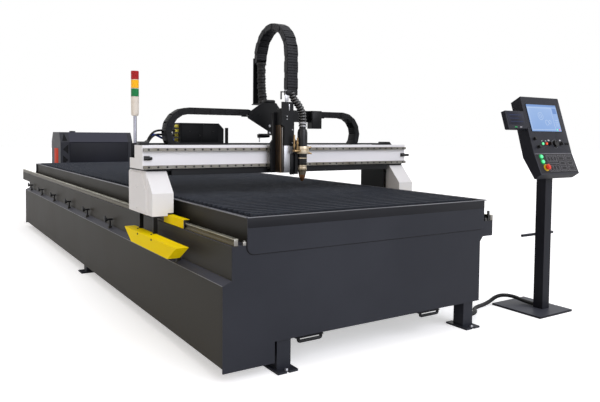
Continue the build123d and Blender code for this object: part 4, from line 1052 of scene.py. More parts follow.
@dataclass
class BoxLeads:
    """Leads from the entry on the beam's end to the glands of the control box."""

    diameter: float = 14.0
    gland_x: float = 272.0
    gland_places: Pairs = ((1284.0, 1298.0), (1284.0, 1268.0), (1292.0, 1236.0), (1296.0, 1204.0))
    gland_steps: Pairs = ((0, 0), (12, 0), (12, 4), (9, 5), (9, 10), (11, 11), (11, 21), (8.5, 25), (0, 25))
    entry: Triple = (-30.0, 1116.0, 1172.0)
    nipple_axis: Triple = (0.55, 0.4, 0.5)
    nipple_steps: Pairs = ((0, 0), (10, 0), (10, 10), (8, 16), (0, 16))
    routes: tuple[tuple[str, Finish, tuple[Triple, ...]], ...] = (
        ("lead_black_long", LEAD_BLACK, ((-8, 1116, 1186), (14, 1134, 1222), (64, 1196, 1256), (122, 1268, 1268),
                                         (180, 1284, 1268), (246, 1284, 1268))),
        ("lead_black_short", LEAD_BLACK, ((-8, 1098, 1184), (14, 1122, 1206), (62, 1192, 1232), (122, 1272, 1242),
                                          (180, 1292, 1236), (246, 1292, 1236))),
        ("lead_blue", LEAD_BLUE, ((-8, 1134, 1184), (18, 1152, 1212), (70, 1206, 1244), (124, 1274, 1230),
                                  (180, 1296, 1206), (246, 1296, 1204))),
    )

    def build(self) -> None:
        """Make the entry, the glands and the three leads."""
        self.add_entry()
        self.add_glands()
        for name, finish, route in self.routes:
            steps, length = even_steps(spline_points(route), 6 * MM)
            tube = Shape(name, Matrix.Identity(4)).tube(steps, [self.diameter / 2 * MM] * len(steps), 12)
            made = tube.done(finish, "gantry")

    def add_entry(self) -> None:
        """Make the rubber lead entry on its bracket."""
        x, y, z = self.entry
        block = Shape("lead_entry").box((x - 33, y - 34, z - 1), (x + 28, y + 34, z + 23), 4.0)
        for along, rise in ((-18, 14), (0, 16), (18, 14)):
            block.turned((x + 20, y + along, z + rise), self.nipple_axis, self.nipple_steps, 16)
        block.done(KNOB_BLACK, "gantry")

    def add_glands(self) -> None:
        """Turn the brass glands on the left face of the box."""
        glands = Shape("box_glands")
        for y, z in self.gland_places:
            glands.turned((self.gland_x + 1, y, z), LEFT, self.gland_steps, 6)
        glands.done(GLAND_BRASS, "gantry")


@dataclass
class Table:
    """Fittings on the suction table."""

    length: float = 5987.0
    rim_z: float = 829.6
    rim_sides: Pair = (127.4, 1902.6)
    rim_step: float = 5.4
    bead: float = 2.4
    apron_ends: Pair = (132.0, 1881.0)
    apron_z: float = 641.0
    apron_radius: float = 40.0
    band_levels: Pair = (776.0, 827.0)
    band_faces: Pair = (5.7, 7.0)
    seam_top: float = 728.0
    seam_radius: float = 4.0
    skirt_fold: Pair = (0.9, 494.6)
    fold_radius: float = 1.6
    # Dark strip at the skirt's rear joint: painted shade of the gap
    skirt_gap_shadow: tuple[Triple, Triple] = ((-0.9, 5735, 88), (0.3, 5785, 494))
    rail_lefts: Pair = (58.0, 1948.0)
    rail_levels: Pair = (692.0, 725.0)
    zones: int = 8
    roller_at: Pair = (-18.5, 579.0)
    roller_steps: Pairs = ((0, 0), (22, 0), (26, 2), (26, 8), (22, 10), (0, 10))
    grip_middles: Pair = (521.0, 1409.0)
    grip_y: float = 7.0
    grip_radius: float = 9.0
    grip_bend: Pairs = ((-73, 158), (-73, 150), (-71, 144), (-65, 141))
    stops: tuple[Triple, ...] = ((121, 8, 1), (1909, 8, 1), (112, 6517, -1), (1918, 6517, -1))
    stop_levels: Pair = (689.0, 708.0)
    buffer_z: float = 699.0
    buffer_steps: Pairs = ((0, -1), (7, -1), (7, 10), (5, 14), (0, 15))
    post: tuple[Triple, Triple] = ((1924, -4, 689.5), (1938, 10, 757))
    feet: Pairs = ((361.5, 55.5), (1767.5, 55.5), (361.5, 5931.5), (1767.5, 5931.5))
    foot_top: float = 11.6
    anchor_reach: float = 72.0

    def build(self) -> None:
        """Add everything that the welded table carries."""
        self.add_rim()
        self.add_rail_ends()
        self.add_apron_seams()
        self.add_stops()
        self.add_bolts()
        self.add_rollers()
        self.add_grips()

    def add_rim(self) -> None:
        """Run a rounded edge with a painted highlight along the rim and along the fold of the skirt."""
        rim = Shape("rim_edge")
        radii = [self.bead, self.bead]
        for x in self.rim_sides:
            rim.tube([Vector((x, y, self.rim_z)) for y in (1, self.length - 1)], radii, 10)
        for y in (-self.rim_step, self.length + self.rim_step):
            rim.tube([Vector((x, y, self.rim_z)) for x in self.apron_ends], radii, 10)
        x, z = self.skirt_fold
        rim.tube([Vector((x, y, z)) for y in (9, self.length - 9)], [self.fold_radius] * 2, 8)
        rim.done(CHARCOAL_EDGE_HIGHLIGHT, "table", "charcoal_coat", 80.0)

    def add_rail_ends(self) -> None:
        """Face the sawn front ends of the rails."""
        ends = Shape("rail_end_faces")
        low, high = self.rail_levels
        for left in self.rail_lefts:
            ends.box((left + 1, -1.0, low), (left + 23, 0.6, high), 0.4)
        ends.done(BLOCK_STEEL, "table")

    def add_apron_seams(self) -> None:
        """Run a dark sheet under the folded rim, its painted shadow, and dark strips round each apron and at the
        skirt's rear joint, painted shade of the gaps there.
        """
        band, seam = Shape("painted_rim_shadows"), Shape("apron_seam_shadows")
        left, right = self.apron_ends
        low, high = self.band_levels
        bend = self.apron_radius
        path = [(left, self.seam_top)]
        path += [(left + bend * (1 - math.cos(a)), self.apron_z + bend * (1 - math.sin(a)))
                 for a in (math.radians(9 * i) for i in range(11))]
        path += [(right + left - x, z) for x, z in reversed(path)]
        for front, face in ((0.0, -1), (self.length, 1)):
            near, far = sorted(front + depth * face for depth in self.band_faces)
            # Dark sheet under the rim: painted shadow of the rim's overhang
            band.box((left, near, low), (right, far, high), 0.5)
            # Dark strip round the apron: painted shade of the gap between plate and apron
            seam.tube([Vector((x, front + 0.6 * face, z)) for x, z in path], [self.seam_radius] * len(path), 8)
        # Painted shade of the gap at the skirt's rear joint
        seam.box(*self.skirt_gap_shadow)
        band.done(CHARCOAL_RIM_SHADOW, "table", "charcoal_coat")
        seam.done(BLACK_OXIDE, "table", None, 60.0)

    def add_rollers(self) -> None:
        """Put a rubber roller on the outer end of each damper's follower."""
        x, z = self.roller_at
        for number in range(1, self.zones + 1):
            body = f"damper_plunger_{number}"
            low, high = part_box(body)
            y = ((low[1] + high[1]) / 2 - FRONT[1]) / MM
            Shape(f"damper_roller_{number}").turned((x, y, z), RIGHT, self.roller_steps).done(BLACK_OXIDE, body)

    def add_grips(self) -> None:
        """Slip a round grip over each gate's bar handle."""
        for side, middle in zip(("left", "right"), self.grip_middles):
            bend = [(middle + x, z) for x, z in self.grip_bend] + [(middle - x, z) for x, z in self.grip_bend[::-1]]
            line = [Vector((x, self.grip_y, z)) for x, z in bend]
            grip = Shape(f"gate_grip_{side}").tube(line, [self.grip_radius] * len(line), 14)
            grip.done(GATE_PAINT, f"slag_gate_{side}", "gate_steel", 50.0)

    def add_stops(self) -> None:
        """Set a stop block with a rubber buffer beside each rail end, and the post at the right rail."""
        blocks, buffers = Shape("rail_stops"), Shape("rail_stop_buffers")
        low, high = self.stop_levels
        for x, y, face in self.stops:
            # The blocks on the right are as black as the buffers
            block = blocks if x < self.apron_ends[1] else buffers
            block.box((x - 12, y - 8, low), (x + 12, y + 8, high), 2.0)
            hex_bolt(block, (x, y, high), UP, 11)
            buffers.turned((x, y + 8 * face, self.buffer_z), (0, face, 0), self.buffer_steps, 16)
        blocks.done(BLOCK_STEEL, "table")
        buffers.box(*self.post, 3.0)
        buffers.done(HOSE_RUBBER, "table")

    def add_bolts(self) -> None:
        """Put an anchor bolt in each slot of the feet."""
        bolts = Shape("anchor_bolts")
        for x, y in self.feet:
            for reach in (-self.anchor_reach, self.anchor_reach):
                hex_bolt(bolts, (x, y + reach, self.foot_top), UP, 17)
        bolts.done(ZINC, "table")


@dataclass
class Gantry:
    """Fittings on the gantry beam, its covers, ramp, box and beacon."""

    beam_front: float = 988.0
    beam_ends: Pair = (-66.0, 2096.0)
    rail_levels: Pair = (1035.0, 1145.0)
    screw_pitch: float = 60.0
    plug_steps: Pairs = ((0, 0), (7, 0), (7, 1.1), (0, 1.1))
    buffers: Pairs = ((-62.0, 48.0), (2056.0, 76.0))
    bracket: Pairs = ((1830, 1171), (1991, 1171), (1968, 1196), (1903, 1196), (1896, 1184), (1830, 1184))
    wiper_lefts: Pair = (50.0, 1940.0)
    wiper_fronts: Pair = (632.0, 1421.0)
    lip: Pairs = ((1, 695), (1, 744), (39, 744), (39, 695), (32.8, 695), (32.8, 727.6), (7.2, 727.6), (7.2, 695))
    panel_outer: Pairs = ((1331, 746), (984, 746), (984, 890), (1080, 1002), (1331, 1002))
    panel_inner: Pairs = ((1326, 751), (989, 751), (989, 888), (1082.3, 997), (1326, 997))
    panel_depth: float = 5.0
    sheet_lefts: Pair = (83.0, 1943.0)
    sheet: Pairs = ((893.5, 757), (893.5, 877), (1014, 1006), (1049, 1006), (1049, 757))
    doors: tuple[Block, ...] = (
        ((280, 1392, 1068), (438, 1399, 1276), 2.5), ((442, 1392, 1068), (596, 1399, 1276), 2.5),
        ((284, 1255.5, 1192), (432, 1260, 1312), 1.6), ((438, 1255.5, 1192), (560, 1260, 1312), 1.6))
    beacon: Pair = (-26.0, 1292.0)
    pole_steps: Pairs = ((0, 1027), (17, 1027), (17, 1040), (11, 1048), (11, 1366), (0, 1366))
    base_steps: Pairs = ((0, 1362), (20, 1362), (23.5, 1368), (25, 1380), (26, 1460), (26, 1487), (0, 1487))
    lens_levels: tuple[float, ...] = (1487.0, 1541.4, 1599.0, 1657.0)
    lens_grooves: int = 9
    collar_steps: Pairs = ((25.4, -1.6), (26.4, -1.0), (26.4, 1.0), (25.4, 1.6), (24, 1.6), (24, -1.6))

    def build(self) -> None:
        """Add every fitting that rides on the gantry."""
        self.add_rail_plugs()
        self.add_buffers()
        self.add_ramp_bolts()
        self.add_wipers()
        self.add_cover_panels()
        self.add_cover_sheets()
        self.add_box_front()
        self.add_beacon()

    def add_rail_plugs(self) -> None:
        """Close the screw holes of the guide rails with plugs."""
        plugs = Shape("guide_rail_plugs")
        left, right = self.beam_ends
        for i in range(int((right - left) // self.screw_pitch)):
            x = left + self.screw_pitch * (i + 0.5)
            for z in self.rail_levels:
                plugs.turned((x, self.beam_front + 1, z), FORWARD, self.plug_steps, 14)
        plugs.done(KNOB_BLACK, "gantry")

    def add_buffers(self) -> None:
        """Fit the rubber buffers at the beam's ends and the switch bracket on its top."""
        buffers = Shape("carriage_buffers")
        for left, reach in self.buffers:
            buffers.box((left, 1002, 1078), (left + 38, 1011, 1106), 2.5)
            steps = ((0, 0), (10, 0), (10, reach - 5), (8, reach), (0, reach))
            buffers.turned((left + 2, 999, 1090), RIGHT, steps, 20)
        buffers.done(KNOB_BLACK, "gantry")
        bracket = Shape("beam_top_bracket").plate([(x, 1040, z) for x, z in self.bracket], (0, 60, 0))
        bracket.done(BLACK_COAT, "gantry")

    def add_ramp_bolts(self) -> None:
        """Bolt the ramp to its posts."""
        bolts = Shape("ramp_bolts")
        for x, y in ((-56.0, 1148.0), (-59.0, 879.0)):
            hex_bolt(bolts, (x, y, 631.8), UP, 9)
        for y in (1028.0, 775.0):
            hex_bolt(bolts, (-94.8, y, 620), LEFT, 9)
        bolts.done(BLACK_OXIDE, "gantry")

    def add_wipers(self) -> None:
        """Hang a rubber lip round the rail at both ends of each wiper."""
        lips = Shape("wiper_lips")
        for left in self.wiper_lefts:
            for y in self.wiper_fronts:
                lips.plate([(left + x, y, z) for x, z in self.lip], (0, 10, 0))
        lips.done(HOSE_RUBBER, "gantry")

    def add_cover_panels(self) -> None:
        """Screw the side panels on the end covers."""
        screws, panels = Shape("cover_screws"), Shape("cover_side_panels")
        for face, x in ((-1, -52.8), (1, 2082.8)):
            out = x + self.panel_depth * face
            panels.loft(([(x, y, z) for y, z in self.panel_outer], [(out, y, z) for y, z in self.panel_inner]))
            for y in (1010.0, 1160.0, 1310.0):
                for z in (768.0, 905.0):
                    socket_screw(screws, (out, y, z), (face, 0, 0), 9)
        panels.done(WHITE_COAT, "gantry", "white_coat")
        screws.done(WHITE_COAT, "gantry", "white_coat")

    def add_cover_sheets(self) -> None:
        """Close the inner side of each end cover in front of its truck."""
        sheets = Shape("cover_inner_sheets")
        for x in self.sheet_lefts:
            sheets.plate([(x, y, z) for y, z in self.sheet], (4, 0, 0))
        sheets.done(WHITE_COAT, "gantry", "white_coat")

    def add_box_front(self) -> None:
        """Fit the doors, hinges and latches of the control box."""
        Shape("box_doors").blocks(self.doors).done(BOX_COAT, "gantry", "box_coat")
        latches = Shape("box_latches")
        for x, z in ((344.0, 1262.0), (418.0, 1235.0), (520.0, 1262.0)):
            socket_screw(latches, (x, 1255.6, z), FORWARD, 11)
        for x in (300.0, 580.0):
            latches.box((x - 7, 1396, 1150), (x + 7, 1403, 1190), 2.0)
        latches.done(BLACK_OXIDE, "gantry")

    def add_beacon(self) -> None:
        """Turn the beacon: foot and pole, lamp base, three lenses and the collars below them."""
        x, y = self.beacon
        foot = (x, y, 0)
        pole = Shape("beacon_pole").box((x - 28, y - 28, 1022), (x + 28, y + 28, 1028), 2.0)
        pole.turned(foot, UP, self.pole_steps, 24)
        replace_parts(pole.done(POLE_ALUMINIUM, "gantry"), "beacon_stand")
        base = Shape("beacon_lamp_base").turned(foot, UP, self.base_steps, 32)
        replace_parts(base.done(CREAM_ABS, "gantry", "beacon_base"), "beacon_stand")
        collars = Shape("beacon_collars")
        lenses = (("beacon_green", GREEN_LENS), ("beacon_amber", AMBER_LENS), ("beacon_red", RED_LENS))
        for (name, finish), low, high in zip(lenses, self.lens_levels, self.lens_levels[1:]):
            ribbed = high - low - 6
            deep = ribbed / self.lens_grooves
            steps = [(0, low + 0.2)]
            for i in range(self.lens_grooves):
                z = low + 3 + ribbed * i / self.lens_grooves
                steps += [(25.2, z), (26, z + deep * 0.25), (26, z + deep * 0.8)]
            steps += [(25.2, high - 3), (25.0, high - 0.4), (0, high - 0.4)]
            lens = Shape(name).turned(foot, UP, steps, 36)
            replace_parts(lens.done(finish, "gantry", "beacon_lens", 20.0), "beacon_lenses")
            collars.turned((x, y, low), UP, self.collar_steps, 32)
        collars.done(CREAM_ABS, "gantry", "beacon_base")


@dataclass
class EnergyChains:
    """The three energy chains, link by link, with pinned side plates and ladder lids."""

    half_width: float = 45.0
    radius: float = 20.2
    sheet: float = 3.4
    fit: float = 0.3
    edge: float = 0.9
    lid_reach: float = 40.5
    lid_levels: Pair = (20.5, 22.2)
    lid_halves: Pair = (8.3, 6.6)
    inner_step: float = 15.4
    rib_levels: Pair = (15.5, 20.8)
    spine_levels: Pair = (18.6, 20.8)
    stud_steps: Pairs = ((0, -0.5), (7, -0.5), (7, 0.4), (6, 0.9), (0, 0.9))
    bundle: Pair = (33.0, 12.0)
    bundle_corners: Pairs = ((1, 0.6), (0.85, 1), (-0.85, 1), (-1, 0.6), (-1, -0.6), (-0.85, -1), (0.85, -1),
                             (1, -0.6))
    bend_radius: float = 145.0
    bend_links: int = 8
    chain_y: float = 1208.0
    lower_z: float = 1111.7
    arch_x: float = 925.0
    arch_front_y: float = 873.0
    arch_low_z: float = 1567.7
    arch_links: int = 12
    arch_front_links: int = 4
    arch_margin: float = 30.0
    left: tuple[float, int, int] = (305.0, 8, 7)
    right: tuple[float, int, int] = (1590.0, 4, 7)

    @property
    def pitch(self) -> float:
        """Distance between the pins of a link."""
        return 2 * self.bend_radius * math.sin(math.pi / self.bend_links / 2)

    def build(self) -> None:
        """Build the two side chains and the arched one."""
        self.side_chain("left", *self.left, face=1)
        self.side_chain("right", *self.right, face=-1)
        self.arch_chain()

    def stadium(self, radius: float, y: float) -> list[Triple]:
        """Pairs of a side plate, round about both pins.

        Args:
            radius: Radius about each pin.
            y: Place along the pins.

        Returns:
            Its corners in mm from the middle of the link.
        """
        points = []
        for end, begin in ((1, -90), (-1, 90)):
            for i in range(9):
                turn = math.radians(begin + 180 * i / 8)
                points.append((end * self.pitch / 2 + radius * math.cos(turn), y, radius * math.sin(turn)))
        return points

    def add_link(self, shape: Shape, start: Vector, end: Vector, across: Vector, outer: bool) -> None:
        """Add one link between two pins.

        Args:
            shape: Piece that takes the link.
            start: First pin.
            end: Second pin.
            across: Direction of the pins, such that run cross across points away from the bend's middle.
            outer: Whether its side plates lie outside those of its neighbours.
        """
        run = (end - start).normalized()
        away = run.cross(across)
        turn = Matrix((run, across, away)).transposed().to_4x4()
        shape.place = DATUM @ Matrix.Translation((start + end) / 2) @ turn
        wide = self.half_width if outer else self.half_width - self.sheet - self.fit
        inside = wide - self.sheet
        for side in (-1, 1):
            levels = ((inside, self.radius - self.edge), (inside + self.edge, self.radius),
                      (wide - self.edge, self.radius), (wide, self.radius - self.edge))
            shape.loft([self.stadium(radius, side * y) for y, radius in levels])
            for pin in (-1, 1) if outer else ():
                shape.turned((pin * self.pitch / 2, side * wide, 0), (0, side, 0), self.stud_steps, 14)
        for level, step, half in zip((1, -1), (self.pitch / 3, self.inner_step), self.lid_halves):
            low, high = sorted(level * z for z in self.lid_levels)
            for place in (-1, 0, 1):
                shape.box((place * step - half, -self.lid_reach, low), (place * step + half, self.lid_reach, high), 0.6)
            low, high = sorted(level * z for z in self.rib_levels)
            shape.box((-6, -inside - 0.6, low), (6, inside + 0.6, high), 0.8)
            low, high = sorted(level * z for z in self.spine_levels)
            shape.box((-step - half + 1, -4, low), (step + half - 1, 4, high))

    def add_bundle(self, shape: Shape, pins: Sequence[Vector], across: Vector) -> None:
        """Fill the links with the flat bundle of leads that they carry.

        Args:
            shape: Piece that takes the bundle.
            pins: Pins that the bundle runs through.
            across: Direction of the pins.
        """
        shape.place = DATUM
        wide, high = self.bundle
        outlines = []
        for i, pin in enumerate(pins):
            run = (pins[min(i + 1, len(pins) - 1)] - pins[max(i - 1, 0)]).normalized()
            away = run.cross(across)
            outlines.append([pin + across * wide * a + away * high * b for a, b in self.bundle_corners])
        shape.loft(outlines)

    def side_chain(self, side: str, bend_x: float, upper: int, lower: int, face: int) -> None:
        """Build one chain beside the carriage.

        Args:
            side: Name of the side.
            bend_x: Middle of the bend.
            upper: Links in the upper run.
            lower: Links in the lower run.
            face: 1 where the bend bulges to the left, -1 to the right.
        """
        upper_z = self.lower_z + 2 * self.bend_radius
        pins = [Vector((bend_x + face * self.pitch * i, self.chain_y, upper_z)) for i in range(upper, 0, -1)]
        for i in range(self.bend_links + 1):
            turn = math.pi / 2 + math.pi * i / self.bend_links
            pins.append(Vector((bend_x + face * self.bend_radius * math.cos(turn), self.chain_y,
                                self.lower_z + self.bend_radius * (1 + math.sin(turn)))))
        pins += [Vector((bend_x + face * self.pitch * i, self.chain_y, self.lower_z)) for i in range(1, lower + 1)]
        across = Vector((0, -face, 0))
        bend_end = upper + self.bend_links
        cuts = [round(upper * i / 3) for i in range(3)] + [upper, bend_end]
        cuts += [bend_end + round(lower * i / 3) for i in (1, 2, 3)]
        for number, (first, last) in enumerate(zip(cuts, cuts[1:])):
            run = Shape(f"{side}_chain_run_{number + 1}")
            for i in range(first, last):
                self.add_link(run, pins[i], pins[i + 1], across, i % 2 == 0)
            self.add_bundle(run, pins[first:last + 1], across)
            piece = run.done(CHAIN_NYLON, None, "chain_polymer")
            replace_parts(piece, f"{side}_chain")
            if first == upper:
                self.follow_half(piece)
                continue
            self.follow_run(piece)

    def follow_half(self, piece: Object) -> None:
        """Bake the bend's place into its mesh.

        Args:
            piece: The bend.
        """
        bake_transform(piece)

    def follow_run(self, piece: Object) -> None:
        """Bake the run's place into its mesh.

        Args:
            piece: The run.
        """
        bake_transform(piece)

    def arch_chain(self) -> None:
        """Build the arched chain, which gives as the torch goes up and down."""
        arch_radius = self.pitch / 2 / math.sin(math.pi / self.arch_links / 2)
        bend_z = self.arch_low_z + self.pitch * self.arch_front_links
        middle = self.arch_front_y + arch_radius
        pins = [Vector((self.arch_x, self.arch_front_y, self.arch_low_z + self.pitch * i))
                for i in range(self.arch_front_links)]
        for i in range(self.arch_links + 1):
            turn = math.pi - math.pi * i / self.arch_links
            pins.append(Vector((self.arch_x, middle + arch_radius * math.cos(turn),
                                bend_z + arch_radius * math.sin(turn))))
        arch = Shape("arch_chain_links")
        for i, (start, end) in enumerate(zip(pins, pins[1:])):
            self.add_link(arch, start, end, Vector(LEFT), i % 2 == 0)
        self.add_bundle(arch, pins, Vector(LEFT))
        # The arch's nylon is a shade paler with painted light
        piece = arch.done(NYLON_LIT, None, "chain_polymer")
        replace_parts(piece, "arch_chain")
        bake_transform(piece)


@dataclass
class Carriage:
    """Fittings on the torch carriage."""

    sleeve_radius: float = 34.0
    sleeve_route: tuple[Triple, ...] = ((925, 1256, 1473), (925, 1274, 1530), (925, 1288, 1600), (925, 1291, 1690),
                                        (925, 1291, 1776))
    strap_places: tuple[Triple, ...] = ((925, 1259, 1484), (925, 1291, 1766))
    strap_steps: Pairs = ((31, -7), (36.5, -7), (37, -5), (37, 5), (36.5, 7), (31, 7))
    inlet: Block = ((884, 1150, 1472.5), (968, 1218, 1498), 10.0)
    arm_bolts: Pair = (1308.0, 1257.0)
    bracket_bolts: tuple[float, ...] = (780.0, 830.0, 1030.0, 1230.0)
    clamp_bolts: Pair = (900.0, 950.0)
    block_screws: tuple[tuple[float, ...], tuple[float, ...]] = (
        (828.0, 876.0, 1042.0, 1090.0), (1020.0, 1050.0, 1130.0, 1160.0))
    switch_head: Block = ((816, 1122, 1230), (838, 1152, 1248), 2.0)
    switch: Pairs = ((905, 1252), (905, 1226), (860, 1222), (818, 1222), (818, 1236), (846, 1240), (868, 1252))
    pin_steps: Pairs = ((0, 0), (6, 0), (6, 6), (3.5, 8), (3.5, 22), (5, 24), (4, 30), (0, 32))
    strip: Block = ((862, 877.8, 988), (872, 880.2, 1310), 0.6)
    groove_lefts: Triple = (854.0, 874.0, 888.0)
    groove_fronts: Pair = (895.0, 920.0)
    groove_levels: Pair = (992.0, 1306.0)
    lids: tuple[Block, ...] = (((1255, 1094, 1298), (1336, 1099, 1420), 2.5),
                               ((1336, 1102, 1300), (1344, 1150, 1416), 2.0),
                               ((854, 884, 1419), (901, 941, 1427), 4.0))
    lid_screws: Pairs = ((1262.0, 1306.0), (1262.0, 1412.0), (1329.0, 1306.0), (1329.0, 1412.0))

    def build(self) -> None:
        """Add every fitting that rides on the carriage."""
        self.add_sleeve()
        self.add_bolts()
        self.add_switch()
        self.add_column_grooves()
        self.add_lead_box()

    def add_sleeve(self) -> None:
        """Wrap the lead bundle in a creased sleeve with a strap at each end."""
        steps, _ = even_steps(spline_points(self.sleeve_route), 4 * MM)
        count = len(steps)
        radii = []
        for i in range(count):
            slack = 4.0 - 3.0 * i / count
            crease = 0.7 * math.sin(i * 1.1) + 0.5 * math.sin(i * 0.41 + 1.3) + 0.3 * math.sin(i * 1.7 + 0.4)
            radii.append((self.sleeve_radius - 3 + slack * crease) * MM)

        def fold(angle: float, i: int) -> float:
            """Slanting folds round the sleeve."""
            return 1 + 0.035 * math.sin(3 * angle + i * 0.5) + 0.02 * math.sin(5 * angle - i * 0.33)

        sleeve = Shape("lead_sleeve_creased", Matrix.Identity(4)).tube(steps, radii, 28, fold)
        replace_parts(sleeve.done(SLEEVE, "carriage", "sleeve_fabric", 70.0), "lead_sleeve")
        straps = Shape("sleeve_straps")
        for place in self.strap_places:
            straps.turned(place, UP, self.strap_steps, 32)
        straps.done(KNOB_BLACK, "carriage")
        Shape("lead_inlet").box(*self.inlet).done(CARRIAGE_BLACK, "carriage", "carriage_coat")

    def add_bolts(self) -> None:
        """Bolt the arms and the bearing blocks."""
        bolts = Shape("carriage_bolts")
        for z in self.arm_bolts:
            hex_bolt(bolts, (918, 1150.2, z), FORWARD, 13)
        bolts.done(ZINC, "carriage")
        caps = Shape("block_screws")
        for x in self.bracket_bolts:
            hex_bolt(caps, (x, 1150.2, 1385), FORWARD, 10)
        for x in self.clamp_bolts:
            hex_bolt(caps, (x, 1337.2, 1794), BACK, 10)
        for x in self.block_screws[0]:
            for z in self.block_screws[1]:
                socket_screw(caps, (x, 945, z), FORWARD, 8)
        caps.done(BLACK_OXIDE, "carriage")

    def add_switch(self) -> None:
        """Hang the limit switch and its plunger from the left gusset."""
        switch = Shape("limit_switch").plate([(x, 1150, z) for x, z in self.switch], (0, -26, 0))
        switch.box(*self.switch_head).done(BLACK_COAT, "carriage")
        Shape("limit_switch_pin").turned((827, 1137, 1224), DOWN, self.pin_steps, 18).done(ZINC, "carriage")

    def add_column_grooves(self) -> None:
        """Run dark slot covers down the lifter column and a bare strip down its front."""
        Shape("column_front_strip").box(*self.strip).done(BLOCK_STEEL, "carriage", "block_steel")
        grooves = Shape("column_slot_covers")
        low, high = self.groove_levels
        for x in self.groove_lefts:
            grooves.box((x, 879.2, low), (x + 6, 880.4, high), 0.4)
        for y in self.groove_fronts:
            grooves.box((849.2, y, low), (850.4, y + 8, high), 0.4)
        grooves.done(KNOB_BLACK, "carriage")

    def add_lead_box(self) -> None:
        """Fit the lid and screws of the lead box and the cover of the lifter motor."""
        lid = Shape("lead_box_lid").blocks(self.lids)
        for x, z in self.lid_screws:
            socket_screw(lid, (x, 1094.2, z), FORWARD, 6)
        lid.done(CARRIAGE_BLACK, "carriage", "carriage_coat")


@dataclass
class Torch:
    """Torch, its clamp, fittings and hoses, on the torch lift."""

    axis: Pair = (1005.0, 845.0)
    hose_radius: float = 27.0
    rib_pitch: float = 20.0
    rib_depth: float = 6.0
    hose_route: tuple[Triple, ...] = ((1005, 845, 1300.4), (1006, 845, 1345), (1004, 852, 1405), (976, 860, 1458),
                                      (942, 870, 1494), (928, 873, 1544.6))
    sides: int = 40
    barrel_steps: Pairs = ((0, 1038), (32, 1038), (33, 1040), (33, 1052), (31.4, 1053), (31.4, 1056), (33, 1057),
                           (33, 1098), (31.4, 1099), (31.4, 1102), (33, 1103), (33, 1272), (29, 1284), (24, 1287),
                           (23, 1300), (0, 1300))
    barrel_ribs: tuple[float, int] = (32.4, 12)
    rib_steps: Pairs = ((0, 1178), (2.6, 1178), (2.6, 1262), (1.2, 1266), (0, 1266))
    band_steps: Pairs = ((44, 1116), (46.4, 1116), (47, 1118), (47, 1138), (46, 1139), (46, 1144), (47, 1145),
                         (47, 1165), (46.4, 1167), (44, 1167))
    seal_steps: Pairs = ((32, 1083), (33.8, 1083), (33.8, 1089), (32, 1089))
    cap_steps: Pairs = ((0, 1040), (31.5, 1040), (31.5, 1030), (30, 1028), (30, 1022), (31.5, 1020), (31.5, 1006),
                        (29.5, 1000), (27.5, 988), (25, 978), (23, 970), (0, 970))
    cap_knurls: tuple[float, int] = (31.3, 24)
    knurl_steps: Pairs = ((0, 1007), (1.1, 1007), (1.1, 1019), (0, 1019))
    shield_steps: Pairs = ((0, 971), (23, 971), (22, 962), (19, 950), (14, 940), (10, 932), (8, 928), (3, 926),
                           (2, 932), (0, 932))
    slide: Block = ((868, 861, 986), (916, 871.6, 1171), 1.5)
    riser: Pairs = ((868, 1172.5), (940, 1172.5), (940, 1470), (850, 1470), (850, 1312), (868, 1300))
    covers: tuple[Block, ...] = (
        ((917, 858, 972), (952, 871.6, 1117), 2.0), ((881, 852, 1516), (969, 894, 1552), 5.0),
        ((890, 856, 1545), (960, 890, 1572), 3.0), ((845, 868, 1534), (884, 880, 1541), 1.0),
        ((845, 868, 1486), (851, 880, 1535), 1.0))
    cover_screws: Pairs = ((888.0, 1372.0), (888.0, 1352.0), (932.0, 1190.0), (932.0, 1280.0))
    cover_plates: tuple[Block, ...] = (((902, 857, 1412), (909, 861, 1456), 1.0),
                                       ((876, 862, 1474), (902, 872, 1520), 1.5))
    fitting_feet: tuple[Triple, ...] = ((930, 830, 1168), (948, 818, 1148))
    fitting_up: Pairs = ((0, 0), (9, 0), (9, 14), (6, 15), (6, 34), (8.5, 35), (8.5, 50), (5.5, 52), (5.5, 78), (0, 78))
    fitting_down: Pairs = ((0, -1), (6, -1), (6, 22), (4, 26), (0, 26))
    stub_steps: Pairs = ((0, 0), (8, 0), (8, 10), (5.5, 11), (5.5, 26), (0, 26))
    band_levels: Pair = (1306.0, 1326.0)
    hose_band: Pairs = ((20, -4), (28.2, -4), (28.2, 4), (20, 4))

    def build(self) -> None:
        """Turn the torch and lead its hoses up to the arched chain."""
        foot = (*self.axis, 0)
        barrel = Shape("torch_barrel").turned(foot, UP, self.barrel_steps, self.sides)
        for rib in round_places(self.axis, *self.barrel_ribs):
            barrel.turned((*rib, 0), UP, self.rib_steps, 8)
        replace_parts(barrel.done(TORCH_SHELL, "torch_lift", "torch_shell"), "torch_body")
        band = Shape("torch_clamp_band").turned(foot, UP, self.band_steps, self.sides)
        band.turned(foot, UP, self.seal_steps, self.sides).done(NICKEL, "torch_lift")
        cap = Shape("torch_retaining_cap").turned(foot, UP, self.cap_steps, self.sides)
        for knurl in round_places(self.axis, *self.cap_knurls):
            cap.turned((*knurl, 0), UP, self.knurl_steps, 6)
        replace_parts(cap.done(NICKEL, "torch_lift", "nozzle_brass"), "torch_nozzle")
        shield = Shape("torch_shield").turned(foot, UP, self.shield_steps, self.sides)
        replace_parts(shield.done(COPPER, "torch_lift", "nozzle_brass"), "torch_nozzle")
        self.add_lift_covers()
        self.add_fittings()
        self.add_hoses()

    def add_lift_covers(self) -> None:
        """Cover the front of the lift: pale slide face, black riser cover, cheek and the end of the arched chain."""
        Shape("slide_face").box(*self.slide).done(MILLED_ALUMINIUM, "torch_lift", "slide_aluminium")
        covers = Shape("lift_covers").plate([(x, 860, z) for x, z in self.riser], (0, 13.8, 0))
        covers.blocks(self.covers).done(CARRIAGE_BLACK, "torch_lift", "carriage_coat")
        screws = Shape("lift_cover_screws")
        for x, z in self.cover_screws:
            socket_screw(screws, (x, 860.4, z), FORWARD, 9)
        screws.blocks(self.cover_plates).done(ZINC, "torch_lift")

